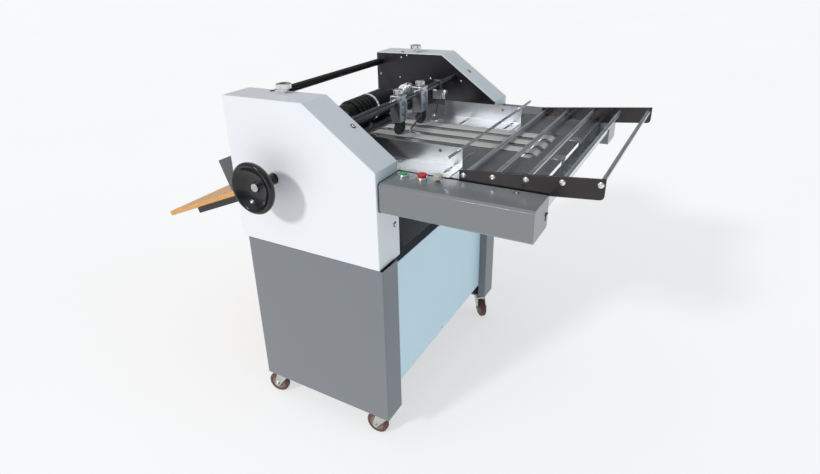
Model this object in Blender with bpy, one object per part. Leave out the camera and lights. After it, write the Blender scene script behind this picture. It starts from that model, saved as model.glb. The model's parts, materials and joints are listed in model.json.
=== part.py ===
"""Floor-standing friction-feed creasing and perforating machine for paper and card.

Metres, +Z up. +X points to the feed side, +Y away from the operator. Dimensions are
taken from the front face of the side housings (x = 0), the outer face of the operator's
side housing (y = 0) and the floor (z = 0). The last step centres the model on its base.
"""

import math

import bmesh
import bpy
from mathutils import Matrix, Vector

# ---- clearances and stock ----
GAP = 0.0003            # between two pieces that touch
SHEET = 0.002           # folded sheet steel
PLATE = 0.008           # side frame plate
TUBE = 0.030            # square tube of the stand
SHAFT_R = 0.0125
FINE = 36               # facets of a large round
ROUND = 24              # facets of a shaft
SMALL = 16              # facets of a small round
BELT_FACETS = 36        # facets of a belt round a full pulley

# ---- side housings ----
HOUSING_DEPTH = 0.502
HOUSING_BOTTOM = 0.630
HOUSING_TOP = 1.070
SLOPE_LOW_Z = 0.911     # where the slope meets the front face
SLOPE_HIGH_X = -0.217   # where the slope meets the top
HOUSING_WIDTH = 0.1135
MACHINE_WIDTH = 0.950

# ---- stand ----
STAND_FRONT = 0.009
STAND_REAR = -0.479
STAND_WIDTH = MACHINE_WIDTH - 0.080
STAND_BOTTOM = 0.103
FLANGE = 0.084
LIP = 0.028
PANEL_BOTTOM = 0.157
PANEL_TOP = 0.590
PANEL_SHEET = 0.0015
POST_INSET = 0.014      # from the flange face to the corner post
BEARER_TOP = HOUSING_BOTTOM - 2 * GAP
CASTER_PLATE = (0.088, 0.076)
CASTER_PLATE_BOTTOM = 0.100
CASTER_INSET = (0.039, 0.042)

# ---- casters ----
CASTER_WHEEL_R = 0.0375
CASTER_WHEEL_W = 0.024
CASTER_TRAIL = 0.028
CASTER_AXLE_R = 0.005
FORK_SHEET = 0.003
CASTER_YAWS = {"near_front": 180.0, "near_rear": 190.0, "far_front": -48.0, "far_rear": 150.0}

# ---- shafts and rollers ----
TOOL_X = -0.342
LOWER_Z = 0.844
UPPER_Z = 0.935
LOWER_ROLL_R = 0.043
GEAR_TEETH = 26
GEAR_Y = (MACHINE_WIDTH - 0.061, MACHINE_WIDTH - 0.045)
PULLEY_Y = (MACHINE_WIDTH - 0.039, MACHINE_WIDTH - 0.021)
LOWER_PULLEY_R = 0.035
REAR_PULLEY_R = 0.0245
MOTOR_PULLEY_R = 0.018
DRIVE_BELT_T = 0.003
SLEEVE_Y = (0.350, 0.655)
SLEEVE_R = 0.0465
SLEEVE_STEP_Y = 0.395
SLEEVE_STEP_R = 0.040
SLEEVE_RINGS = 3
RING_Y = (0.505, 0.517)
RING_R = 0.0475
RING_SEAT_R = 0.0385
COLLAR_YS = (0.762, 0.792)
BEARING_BLOCK = (0.050, 0.039, 0.080)

# ---- handwheel ----
WHEEL_R = 0.075
WHEEL_FRONT = -0.095

# ---- feed table and belts ----
TABLE_TOP = 0.884
TABLE_THICK = 0.006
TABLE_X = (-0.290, 0.362)
BELT_Y = (0.411, 0.485, 0.559)
BELT_WIDTH = 0.042
BELT_THICK = 0.002
BELT_ROLLER_R = 0.026
BELT_ROLLER_Z = TABLE_TOP + 0.0005 - BELT_ROLLER_R
FRONT_ROLLER_X = 0.272
REAR_ROLLER_X = -0.245
ROLLER_SHAFT_R = 0.008
WINDOW_Y = (0.352, 0.618)
WINDOW_HALF = 0.0225

# ---- control beams ----
BEAM_LENGTH = 0.402
BEAM_Y = (0.008, 0.119)
BEAM_Z = (0.800, 0.883)
BEAM_CHAMFER = 0.006
BUTTON_XS = {"green_button": 0.036, "red_button": 0.090}
BUTTON_Y = 0.080
BUTTON_R = 0.0100
BEZEL_R = 0.0140
BEZEL_H = 0.006
DIAL_XY = (0.132, 0.085)
DIAL_R = 0.0125
ROCKER_YZ = (0.104, 0.833)
ROCKER_HALF = (0.0060, 0.0090)
CHANNEL_X = (0.366, 0.398)
CHANNEL_Z = (0.842, 0.874)

# ---- feed tray ----
TRAY_PLATE = 0.005
TRAY_X = (0.174, 0.521)
TRAY_TOP = (0.909, 0.939)
TRAY_HEIGHT = 0.050
ROD_R = 0.006
ROD_XS = (0.186, 0.262, 0.344, 0.428, 0.511)
ROD_DROP = 0.0135       # rod centre below the plate's upper edge

# ---- side guides ----
GUIDE_SHEET = 0.0015
GUIDE_X = (-0.130, 0.147)
GUIDE_TOP = 0.939
GUIDE_FOOT = {"near": 0.0865, "far": 0.0930}
GUIDE_WALL_Y = {"near": 0.2015, "far": 0.683}
GUIDE_SLOT_XS = (-0.034, 0.121)
GUIDE_SLOT_REACH = {"near": 0.060, "far": 0.085}    # from the wall into the foot
GUIDE_HOLE_XZ = (0.082, 0.924)
GUIDE_HOLE_R = 0.0045
TABLE_SLOT_Y = ((0.142, 0.350), (0.597, 0.815))
SLOT_HALF = 0.004
GUIDE_ROD_R = 0.004
GUIDE_ROD_XZ = (0.136, 0.930)
GUIDE_ROD_Y = (0.133, 0.809)

# ---- separators ----
BAR_XZ = (-0.165, 0.992)
BAR_R = 0.010
SEPARATOR_Y = {"near": 0.411, "far": 0.557}
SEPARATOR_SIZE = (0.036, 0.046)
SEPARATOR_Z = (0.928, 1.012)
PAD_BOTTOM = 0.890
CLAMP_Y = 0.700

# ---- pressure screws and tie bar ----
PRESS_X = TOOL_X
PRESS_Y = 0.084
PRESS_HEAD_R = 0.022
TIE_XZ = (-0.484, 1.035)
TIE_R = 0.0125

# ---- drive ----
MOTOR_XZ = (-0.160, 0.735)
MOTOR_R = 0.052
MOTOR_LENGTH = 0.150

# ---- delivery tray ----
BOARD_SLOPE = math.radians(22.0)
BOARD_OUTER = (-1.004, 0.565)   # x and z of the upper edge of the outer end
BOARD_LENGTH = 0.520
BOARD_THICK = 0.018
BOARD_Y = (0.116, MACHINE_WIDTH - 0.116)
STOP_DISTANCE = 0.380           # from the outer end, along the board
STOP_HEIGHT = 0.112
ARM_SIZE = 0.020
ARM_RANGE = (0.172, 0.640)      # from the outer end, along the board

PLATE_IN = HOUSING_WIDTH                    # inner face of the near side frame
PLATE_OUT = PLATE_IN - PLATE
MIRROR = MACHINE_WIDTH


def clear_scene():
    for item in list(bpy.data.objects):
        bpy.data.objects.remove(item, do_unlink=True)


# ------------------------------------------------------------------ builders
def from_bmesh(name, shape):
    bmesh.ops.recalc_face_normals(shape, faces=shape.faces)
    mesh = bpy.data.meshes.new(name)
    shape.to_mesh(mesh)
    shape.free()
    item = bpy.data.objects.new(name, mesh)
    bpy.context.collection.objects.link(item)
    return item


def place(axis, first, second, along):
    """A point from two coordinates across an axis and one along it."""
    if axis == "X":
        return Vector((along, first, second))
    if axis == "Y":
        return Vector((first, along, second))
    return Vector((first, second, along))


def prism(name, outline, axis, low, high):
    shape = bmesh.new()
    near = [shape.verts.new(place(axis, a, b, low)) for a, b in outline]
    far = [shape.verts.new(place(axis, a, b, high)) for a, b in outline]
    shape.faces.new(near)
    shape.faces.new(far)
    for i, first in enumerate(near):
        j = (i + 1) % len(near)
        shape.faces.new((first, near[j], far[j], far[i]))
    return from_bmesh(name, shape)


def block(name, xs, ys, zs):
    outline = [(xs[0], ys[0]), (xs[1], ys[0]), (xs[1], ys[1]), (xs[0], ys[1])]
    return prism(name, outline, "Z", zs[0], zs[1])


def turned(name, profile, axis, centre, facets=ROUND):
    """A turned piece. profile is (radius, along); radius 0 lies on the axis."""
    shape = bmesh.new()
    rings = []
    for radius, along in profile:
        if radius == 0:
            rings.append([shape.verts.new(place(axis, centre[0], centre[1], along))])
            continue
        ring = []
        for k in range(facets):
            turn = 2 * math.pi * (k + 0.5) / facets
            a = centre[0] + radius * math.cos(turn)
            b = centre[1] + radius * math.sin(turn)
            ring.append(shape.verts.new(place(axis, a, b, along)))
        rings.append(ring)
    closed = len(rings[0]) > 1
    pairs = list(zip(rings, rings[1:])) + ([(rings[-1], rings[0])] if closed else [])
    for lower, upper in pairs:
        for k in range(facets):
            n = (k + 1) % facets
            if len(lower) == 1:
                shape.faces.new((lower[0], upper[k], upper[n]))
            elif len(upper) == 1:
                shape.faces.new((lower[k], lower[n], upper[0]))
            else:
                shape.faces.new((lower[k], lower[n], upper[n], upper[k]))
    return from_bmesh(name, shape)


def rod(name, radius, axis, centre, low, high, facets=ROUND):
    profile = [(0, low), (radius, low), (radius, high), (0, high)]
    return turned(name, profile, axis, centre, facets)


def combine(item, others, operation):
    for other in others:
        step = item.modifiers.new(operation.lower(), "BOOLEAN")
        step.operation = operation
        step.solver = "EXACT"
        step.object = other
        bpy.context.view_layer.update()
        graph = bpy.context.evaluated_depsgraph_get()
        mesh = bpy.data.meshes.new_from_object(item.evaluated_get(graph))
        item.modifiers.clear()
        item.data = mesh
        bpy.data.objects.remove(other, do_unlink=True)
    return item


def join(item, *others):
    return combine(item, others, "UNION")


def cut(item, *others):
    return combine(item, others, "DIFFERENCE")


def mirrored(y):
    return MIRROR - y


def span(side, low, high):
    """The y span of a piece of the near side, or of its mirror image on the far side."""
    if side == "near":
        return (low, high)
    return (mirrored(high), mirrored(low))


def inset(outline, distance, keep=()):
    """A convex outline moved in by a distance, except the edges whose index is in keep."""
    count = len(outline)
    area = 0.0
    for i in range(count):
        j = (i + 1) % count
        area += outline[i][0] * outline[j][1] - outline[j][0] * outline[i][1]
    turn = 1.0 if area > 0 else -1.0
    lines = []
    for i in range(count):
        start = Vector(outline[i])
        along = (Vector(outline[(i + 1) % count]) - start).normalized()
        inward = Vector((-along.y, along.x)) * turn
        lines.append((start + inward * (0 if i in keep else distance), along))
    moved = []
    for i in range(count):
        (p, d), (q, e) = lines[i - 1], lines[i]
        cross = d.x * e.y - d.y * e.x
        step = ((q - p).x * e.y - (q - p).y * e.x) / cross
        moved.append(tuple(p + d * step))
    return moved


def housing_outline():
    return [
        (-HOUSING_DEPTH, HOUSING_BOTTOM),
        (0.0, HOUSING_BOTTOM),
        (0.0, SLOPE_LOW_Z),
        (SLOPE_HIGH_X, HOUSING_TOP),
        (-HOUSING_DEPTH, HOUSING_TOP),
    ]


# ------------------------------------------------------------------ stand
def stand_frame():
    """One welded frame: four posts, rails, two bearers and four caster plates."""
    front = STAND_FRONT - POST_INSET
    rear = STAND_REAR + POST_INSET
    low = SHEET + GAP
    high = STAND_WIDTH - SHEET - GAP
    behind_panel = STAND_FRONT - LIP - 3 * GAP - PANEL_SHEET
    before_panel = STAND_REAR + LIP + 3 * GAP + PANEL_SHEET
    base = STAND_BOTTOM + 0.002
    pieces = []
    for xs in ((front - TUBE, front), (rear, rear + TUBE)):
        for ys in ((low, low + TUBE), (high - TUBE, high)):
            pieces.append(block("post", xs, ys, (base, PANEL_TOP - 0.001)))
    for xs in ((behind_panel - TUBE, behind_panel), (before_panel, before_panel + TUBE)):
        for zs in ((PANEL_BOTTOM, PANEL_BOTTOM + TUBE), (PANEL_TOP - TUBE, PANEL_TOP)):
            pieces.append(block("rail", xs, (low + 0.001, high - 0.001), zs))
    for ys in ((low, low + TUBE), (high - TUBE, high)):
        side = (rear + 0.001, front - 0.001)
        pieces.append(block("sill", side, ys, (base - 0.0005, base - 0.0005 + TUBE)))
    for y in (PLATE_OUT + PLATE / 2, mirrored(PLATE_OUT + PLATE / 2)):
        ys = (y - TUBE / 2, y + TUBE / 2)
        ys = (ys[0], min(ys[1], high - 0.004))
        reach = (before_panel + 0.0005, behind_panel - 0.0005)
        pieces.append(block("bearer", reach, ys, (PANEL_TOP - 0.006, BEARER_TOP)))
    for x in caster_xs().values():
        for y in caster_ys().values():
            xs = (x - CASTER_PLATE[0] / 2, x + CASTER_PLATE[0] / 2)
            xs = (max(xs[0], STAND_REAR + 0.004), min(xs[1], STAND_FRONT - 0.004))
            ys = (y - CASTER_PLATE[1] / 2, y + CASTER_PLATE[1] / 2)
            pieces.append(block("pad", xs, ys, (CASTER_PLATE_BOTTOM, base + 0.002)))
    return finish(join(pieces[0], *pieces[1:]), "stand_frame", PAINT_GREY)


def stand_side(side):
    """A folded side: outer sheet, front and rear flanges, and a lip on each flange."""
    def y_of(distance):
        return distance if side == "near" else STAND_WIDTH - distance

    front, rear = STAND_FRONT, STAND_REAR
    t = SHEET
    outline = [
        (rear, y_of(0)),
        (front, y_of(0)),
        (front, y_of(FLANGE)),
        (front - LIP, y_of(FLANGE)),
        (front - LIP, y_of(FLANGE - t)),
        (front - t, y_of(FLANGE - t)),
        (front - t, y_of(t)),
        (rear + t, y_of(t)),
        (rear + t, y_of(FLANGE - t)),
        (rear + LIP, y_of(FLANGE - t)),
        (rear + LIP, y_of(FLANGE)),
        (rear, y_of(FLANGE)),
    ]
    item = prism("side", outline, "Z", STAND_BOTTOM, HOUSING_BOTTOM - GAP)
    return finish(item, "stand_side_" + side, PAINT_GREY)


def stand_panel(end):
    """The panel behind the flange lips; the rear one carries the cable gland."""
    ys = (FLANGE - 0.022, STAND_WIDTH - FLANGE + 0.022)
    zs = (PANEL_BOTTOM, PANEL_TOP)
    if end == "front":
        face = STAND_FRONT - LIP - GAP
        item = block("panel", (face - PANEL_SHEET, face), ys, zs)
        return finish(item, "stand_front_panel", PANEL_BLUE)
    face = STAND_REAR + LIP + GAP
    item = block("panel", (face, face + PANEL_SHEET), ys, zs)
    spot = (0.160, 0.250)
    profile = [
        (0, face - 0.008), (0.004, face - 0.008), (0.004, face - 0.020), (0.0085, face - 0.020),
        (0.0085, face - 0.010), (0.012, face - 0.010), (0.012, face + 0.0007), (0, face + 0.0007),
    ]
    join(item, turned("gland", profile, "X", spot, SMALL))
    return finish(item, "stand_rear_panel", PAINT_GREY)


def caster_xs():
    return {"front": STAND_FRONT - CASTER_INSET[0], "rear": STAND_REAR + CASTER_INSET[0]}


def caster_ys():
    return {"near": CASTER_INSET[1], "far": STAND_WIDTH - CASTER_INSET[1]}


def caster(place_name):
    """A swivel fork with its axle bolt, and the wheel that turns on it."""
    depth, end = place_name.split("_")
    pivot = Vector((caster_xs()[end], caster_ys()[depth], 0.0))
    turn = Matrix.Rotation(math.radians(CASTER_YAWS[place_name]), 4, "Z")
    half = CASTER_WHEEL_W / 2 + 0.003
    top = CASTER_PLATE_BOTTOM - GAP
    bridge = (0.0815, 0.0855)
    cheek = [(-0.022, bridge[1])]
    cheek += [(CASTER_TRAIL + 0.010 * math.cos(math.radians(a)),
               CASTER_WHEEL_R + 0.010 * math.sin(math.radians(a)))
              for a in (200, 235, 270, 305, 340, 20)]
    cheek += [(0.024, bridge[1])]
    fork = block("bridge", (-0.022, 0.024), (-half - FORK_SHEET, half + FORK_SHEET), bridge)
    head = turned("head", [(0, top), (0.024, top), (0.024, top - 0.005), (0.019, top - 0.009),
                           (0.019, bridge[0] + 0.001), (0, bridge[0] + 0.001)], "Z", (0, 0), SMALL)
    cheeks = [prism("cheek", cheek, "Y", low, low + FORK_SHEET)
              for low in (-half - FORK_SHEET, half)]
    reach = half + FORK_SHEET + 0.004
    spot = (CASTER_TRAIL, CASTER_WHEEL_R)
    bolt = rod("bolt", CASTER_AXLE_R, "Y", spot, -reach, reach, SMALL)
    ends = [rod("nut", 0.008, "Y", spot, low, low + 0.0035, 6)
            for low in (-half - FORK_SHEET - 0.003, half + FORK_SHEET - 0.0005)]
    join(fork, head, *cheeks, bolt, *ends)
    r, w = CASTER_WHEEL_R, CASTER_WHEEL_W / 2
    bore = CASTER_AXLE_R + GAP
    tread = [
        (bore, -w - 0.002), (0.011, -w - 0.002), (0.014, -w + 0.003), (r - 0.011, -w + 0.003),
        (r - 0.008, -w), (r, -w + 0.005), (r, w - 0.005), (r - 0.008, w),
        (r - 0.011, w - 0.003), (0.014, w - 0.003), (0.011, w + 0.002), (bore, w + 0.002),
    ]
    wheel = turned("wheel", tread, "Y", spot, SMALL + 4)
    for item in (fork, wheel):
        item.data.transform(Matrix.Translation(pivot) @ turn)
    finish(fork, "caster_fork_" + place_name, ZINC, pivot)
    axle = pivot + turn @ Vector((CASTER_TRAIL, 0.0, CASTER_WHEEL_R))
    finish(wheel, "caster_wheel_" + place_name, RUBBER_BROWN, axle)


# ------------------------------------------------------------------ housings
def side_frame(side):
    """The steel plate that carries the shafts, with its pressure bearing block."""
    outline = inset(housing_outline(), SHEET + GAP, keep=(0,))
    ys = span(side, PLATE_OUT, PLATE_IN)
    plate = prism("plate", outline, "Y", ys[0], ys[1])
    width, reach, height = BEARING_BLOCK
    ys = span(side, PLATE_OUT - reach, PLATE_OUT + 0.001)
    low = UPPER_Z - height / 2 + 0.008
    house = block("house", (TOOL_X - width / 2, TOOL_X + width / 2), ys, (low, low + height))
    join(plate, house)
    ends = span(side, PLATE_OUT - reach - 0.01, HOUSING_WIDTH + 0.01)
    bores = [
        ((TOOL_X, UPPER_Z), SHAFT_R), ((TOOL_X, LOWER_Z), SHAFT_R),
        ((REAR_ROLLER_X, BELT_ROLLER_Z), ROLLER_SHAFT_R),
    ]
    if side == "far":
        bores.append((MOTOR_XZ, 0.012))
    for centre, radius in bores:
        cut(plate, rod("bore", radius + GAP, "Y", centre, ends[0], ends[1]))
    return finish(plate, "side_frame_" + side, BLACK_STEEL)


def side_cover(side):
    """The open-backed sheet cover: outer sheet and a rim on every edge but the bottom."""
    outline = housing_outline()
    ys = span(side, 0.0, HOUSING_WIDTH)
    shell = prism("shell", outline, "Y", ys[0], ys[1])
    hollow = inset(outline, SHEET)
    hollow[0] = (hollow[0][0], HOUSING_BOTTOM - 0.01)
    hollow[1] = (hollow[1][0], HOUSING_BOTTOM - 0.01)
    ys = span(side, SHEET, HOUSING_WIDTH + 0.01)
    cut(shell, prism("hollow", hollow, "Y", ys[0], ys[1]))
    y = PRESS_Y if side == "near" else mirrored(PRESS_Y)
    hole = rod("hole", 0.0075 + GAP, "Z", (PRESS_X, y), HOUSING_TOP - 0.01, HOUSING_TOP + 0.01)
    cut(shell, hole)
    if side == "near":
        cut(shell, rod("eye", 0.017, "Y", (TOOL_X, LOWER_Z), -0.01, 0.01))
    return finish(shell, "side_cover_" + side, PAINT_WHITE)


def pressure_knob(side):
    y = PRESS_Y if side == "near" else mirrored(PRESS_Y)
    tip = UPPER_Z + BEARING_BLOCK[2] / 2 + 0.008 + GAP
    top = HOUSING_TOP
    profile = [
        (0, tip), (0.0055, tip), (0.0075, tip + 0.004), (0.0075, top + 0.006),
        (0.013, top + 0.008), (0.013, top + 0.012), (PRESS_HEAD_R - 0.002, top + 0.013),
        (PRESS_HEAD_R, top + 0.015), (PRESS_HEAD_R, top + 0.025),
        (PRESS_HEAD_R - 0.002, top + 0.027), (0.006, top + 0.0275), (0, top + 0.026),
    ]
    item = turned("knob", profile, "Z", (PRESS_X, y), ROUND)
    finish(item, "pressure_knob_" + side, CHROME, Vector((PRESS_X, y, top)))


def tie_bar():
    item = rod("bar", TIE_R, "Y", TIE_XZ, PLATE_IN + GAP, mirrored(PLATE_IN) - GAP, SMALL + 4)
    finish(item, "tie_bar_rear", BLACK_STEEL)


# ------------------------------------------------------------------ tool shafts
def gear(centre, phase):
    """A spur gear with narrow flanks; phase turns its first tooth, in degrees."""
    pitch_r = (UPPER_Z - LOWER_Z) / 2
    module = 2 * pitch_r / GEAR_TEETH
    tip, root = pitch_r + 0.80 * module, pitch_r - 1.05 * module
    step = 2 * math.pi / GEAR_TEETH
    outline = []
    for k in range(GEAR_TEETH):
        middle = math.radians(phase) + k * step
        for radius, part in ((root, -0.30), (tip, -0.11), (tip, 0.11), (root, 0.30)):
            turn = middle + part * step
            outline.append((centre[0] + radius * math.cos(turn),
                            centre[1] + radius * math.sin(turn)))
    return prism("gear", outline, "Y", GEAR_Y[0], GEAR_Y[1])


def pulley_profile(radius, low, high):
    lip = radius + 0.003
    return [(lip, low), (lip, low + 0.0015), (radius, low + 0.003),
            (radius, high - 0.003), (lip, high - 0.0015), (lip, high)]


def lower_tool_shaft():
    near = PLATE_IN + 0.003
    far = mirrored(near)
    profile = [
        (0, WHEEL_FRONT + 0.014), (SHAFT_R - 0.001, WHEEL_FRONT + 0.014),
        (SHAFT_R, WHEEL_FRONT + 0.015), (SHAFT_R, near), (0.020, near), (0.020, near + 0.010),
        (LOWER_ROLL_R, near + 0.010), (LOWER_ROLL_R, far - 0.010), (0.020, far - 0.010),
        (0.020, far), (SHAFT_R, far), (SHAFT_R, PULLEY_Y[0]),
    ]
    profile += pulley_profile(LOWER_PULLEY_R, PULLEY_Y[0], PULLEY_Y[1])
    profile += [(SHAFT_R, PULLEY_Y[1]), (SHAFT_R, PULLEY_Y[1] + 0.006), (0, PULLEY_Y[1] + 0.006)]
    centre = (TOOL_X, LOWER_Z)
    item = turned("shaft", profile, "Y", centre, ROUND)
    join(item, gear(centre, 90.0))
    finish(item, "lower_tool_shaft", STEEL, Vector((TOOL_X, 0.0, LOWER_Z)))


def upper_tool_shaft():
    """The shaft with its gear and the two collars parked at its far end."""
    profile = [(0, PLATE_OUT - 0.034), (SHAFT_R, PLATE_OUT - 0.034)]
    for low in COLLAR_YS:
        profile += [(SHAFT_R, low), (0.021, low), (0.021, low + 0.009), (0.030, low + 0.009),
                    (0.030, low + 0.014), (0.024, low + 0.016), (0.024, low + 0.020),
                    (SHAFT_R, low + 0.020)]
    profile += [(SHAFT_R, GEAR_Y[1] + 0.004), (0, GEAR_Y[1] + 0.004)]
    centre = (TOOL_X, UPPER_Z)
    item = turned("shaft", profile, "Y", centre, ROUND)
    join(item, gear(centre, -90.0 + 180.0 / GEAR_TEETH))
    finish(item, "upper_tool_shaft", CHROME, Vector((TOOL_X, 0.0, UPPER_Z)))


def crease_sleeve():
    """The black sleeve: a ringed near end, and a seat for the creasing ring."""
    bore = SHAFT_R + GAP
    low, high = SLEEVE_Y
    profile = [(bore, low)]
    width = (SLEEVE_STEP_Y - low) / SLEEVE_RINGS
    for k in range(SLEEVE_RINGS):
        y = low + k * width
        profile += [(SLEEVE_STEP_R, y), (SLEEVE_STEP_R, y + width - 0.003),
                    (SLEEVE_STEP_R - 0.003, y + width - 0.003),
                    (SLEEVE_STEP_R - 0.003, y + width)]
    profile += [
        (SLEEVE_R, SLEEVE_STEP_Y), (SLEEVE_R, RING_Y[0] - GAP), (RING_SEAT_R, RING_Y[0] - GAP),
        (RING_SEAT_R, RING_Y[1] + GAP), (SLEEVE_R, RING_Y[1] + GAP), (SLEEVE_R, high - 0.030),
        (SLEEVE_R - 0.006, high - 0.024), (SLEEVE_R - 0.006, high), (bore, high),
    ]
    item = turned("sleeve", profile, "Y", (TOOL_X, UPPER_Z), ROUND)
    finish(item, "crease_sleeve", RUBBER_BLACK, Vector((TOOL_X, 0.0, UPPER_Z)))


def crease_ring():
    middle = (RING_Y[0] + RING_Y[1]) / 2
    profile = [
        (RING_SEAT_R + GAP, RING_Y[0]), (RING_R - 0.003, RING_Y[0]), (RING_R, middle - 0.001),
        (RING_R, middle + 0.001), (RING_R - 0.003, RING_Y[1]), (RING_SEAT_R + GAP, RING_Y[1]),
    ]
    item = turned("ring", profile, "Y", (TOOL_X, UPPER_Z), ROUND)
    finish(item, "crease_ring", CHROME, Vector((TOOL_X, 0.0, UPPER_Z)))


def handwheel():
    """A dished handwheel on the near end of the lower shaft."""
    bore = SHAFT_R + GAP
    front = WHEEL_FRONT
    profile = [
        (bore, front + 0.010), (0.019, front + 0.010), (0.030, front + 0.024),
        (0.046, front + 0.026), (0.060, front + 0.014), (0.067, front + 0.001),
        (WHEEL_R - 0.003, front + 0.002), (WHEEL_R, front + 0.009), (WHEEL_R - 0.002, front + 0.018),
        (0.062, front + 0.024), (0.044, front + 0.035), (0.020, front + 0.038),
        (0.0165, front + 0.052), (0.0165, -0.004), (bore, -0.004),
    ]
    item = turned("wheel", profile, "Y", (TOOL_X, LOWER_Z), FINE)
    finish(item, "handwheel", BLACK_GLOSS, Vector((TOOL_X, 0.0, LOWER_Z)))


# ------------------------------------------------------------------ table and belts
def feed_table():
    """The table plate: wide between the side frames, narrow between the tray plates."""
    low, high = PLATE_IN + GAP, mirrored(PLATE_IN) - GAP
    tight = BEAM_Y[1] + GAP + TRAY_PLATE + GAP
    xs = TABLE_X
    step = -0.002
    outline = [
        (xs[0], low), (step, low), (step, tight), (xs[1], tight),
        (xs[1], mirrored(tight)), (step, mirrored(tight)), (step, high), (xs[0], high),
    ]
    item = prism("table", outline, "Z", TABLE_TOP - TABLE_THICK, TABLE_TOP)
    for x in (FRONT_ROLLER_X, REAR_ROLLER_X):
        window = (x - WINDOW_HALF, x + WINDOW_HALF)
        cut(item, block("window", window, WINDOW_Y, (TABLE_TOP - 0.02, TABLE_TOP + 0.02)))
    for ys in TABLE_SLOT_Y:
        for x in GUIDE_SLOT_XS:
            xs = (x - SLOT_HALF, x + SLOT_HALF)
            cut(item, block("slot", xs, ys, (TABLE_TOP - 0.02, TABLE_TOP + 0.02)))
    finish(item, "feed_table", TABLE_GREY)


def belt_roller(end):
    """A belt roller: a short barrel under the belts on a thin through shaft."""
    barrel = (BELT_Y[0] - 0.030, BELT_Y[-1] + 0.030)
    r = ROLLER_SHAFT_R
    if end == "front":
        x = FRONT_ROLLER_X
        low, high = BEAM_Y[1] - 0.007, mirrored(BEAM_Y[1]) + 0.007
        tail = [(r, high), (0, high)]
    else:
        x = REAR_ROLLER_X
        low, high = PLATE_OUT - 0.006, PULLEY_Y[1] + 0.004
        tail = [(r, PULLEY_Y[0])]
        tail += pulley_profile(REAR_PULLEY_R, PULLEY_Y[0], PULLEY_Y[1])
        tail += [(r, PULLEY_Y[1]), (r, high), (0, high)]
    profile = [
        (0, low), (r, low), (r, barrel[0]), (BELT_ROLLER_R - 0.001, barrel[0]),
        (BELT_ROLLER_R, barrel[0] + 0.001), (BELT_ROLLER_R, barrel[1] - 0.001),
        (BELT_ROLLER_R - 0.001, barrel[1]), (r, barrel[1]),
    ]
    item = turned("roller", profile + tail, "Y", (x, BELT_ROLLER_Z), ROUND)
    finish(item, end + "_belt_roller", STEEL, Vector((x, 0.0, BELT_ROLLER_Z)))


def loop_outline(circles, extra):
    """The taut outline round circles of (x, z, radius), each radius enlarged by extra."""
    points = []
    for x, z, radius in circles:
        for k in range(BELT_FACETS):
            turn = 2 * math.pi * k / BELT_FACETS
            points.append((x + (radius + extra) * math.cos(turn),
                           z + (radius + extra) * math.sin(turn)))
    points.sort()

    def half(ordered):
        chain = []
        for p in ordered:
            while len(chain) > 1:
                (ax, ay), (bx, by) = chain[-2], chain[-1]
                if (bx - ax) * (p[1] - ay) - (by - ay) * (p[0] - ax) > 1e-12:
                    break
                chain.pop()
            chain.append(p)
        return chain[:-1]

    return half(points) + half(points[::-1])


def belt(name, circles, thickness, ys, finish_of):
    """A closed flat belt round its pulleys."""
    outer = prism("band", loop_outline(circles, GAP + thickness), "Y", ys[0], ys[1])
    inner = prism("inside", loop_outline(circles, GAP), "Y", ys[0] - 0.01, ys[1] + 0.01)
    finish(cut(outer, inner), name, finish_of)


def feed_belts():
    circles = [(FRONT_ROLLER_X, BELT_ROLLER_Z, BELT_ROLLER_R),
               (REAR_ROLLER_X, BELT_ROLLER_Z, BELT_ROLLER_R)]
    for name, y in zip(("near", "middle", "far"), BELT_Y):
        ys = (y - BELT_WIDTH / 2, y + BELT_WIDTH / 2)
        belt("feed_belt_" + name, circles, BELT_THICK, ys, BELT_GREY)


# ------------------------------------------------------------------ beams
def beam(side):
    """The box beam beside the table; the near one carries the controls."""
    ys = span(side, BEAM_Y[0], BEAM_Y[1])
    c = BEAM_CHAMFER

    def section(wall):
        y0, y1 = ys[0] + wall, ys[1] - wall
        z0, z1 = BEAM_Z[0] + wall, BEAM_Z[1] - wall
        k = c - 0.5 * wall
        return [(y0 + k, z0), (y1 - k, z0), (y1, z0 + k), (y1, z1 - k),
                (y1 - k, z1), (y0 + k, z1), (y0, z1 - k), (y0, z0 + k)]

    item = prism("beam", section(0.0), "X", GAP, BEAM_LENGTH)
    cut(item, prism("room", section(SHEET), "X", -0.01, BEAM_LENGTH - SHEET))
    inner = span(side, BEAM_Y[1] - 0.01, BEAM_Y[1] + 0.01)
    centre = (FRONT_ROLLER_X, BELT_ROLLER_Z)
    cut(item, rod("bore", ROLLER_SHAFT_R + GAP, "Y", centre, inner[0], inner[1]))
    if side == "near":
        top = BEAM_Z[1]
        for x in BUTTON_XS.values():
            centre = (x, BUTTON_Y)
            join(item, rod("bezel", BEZEL_R, "Z", centre, top - 0.001, top + BEZEL_H))
            cut(item, rod("hole", BUTTON_R + GAP, "Z", centre, top - 0.01, top + 0.02))
        cut(item, rod("hole", 0.003 + GAP, "Z", DIAL_XY, top - 0.01, top + 0.01, SMALL))
        half = (ROCKER_HALF[0] + GAP, ROCKER_HALF[1] + 0.0006)
        slot_y = (ROCKER_YZ[0] - half[0], ROCKER_YZ[0] + half[0])
        slot_z = (ROCKER_YZ[1] - half[1], ROCKER_YZ[1] + half[1])
        cut(item, block("slot", (BEAM_LENGTH - 0.01, BEAM_LENGTH + 0.01), slot_y, slot_z))
    finish(item, "beam_" + side, PAINT_GREY)


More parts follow.
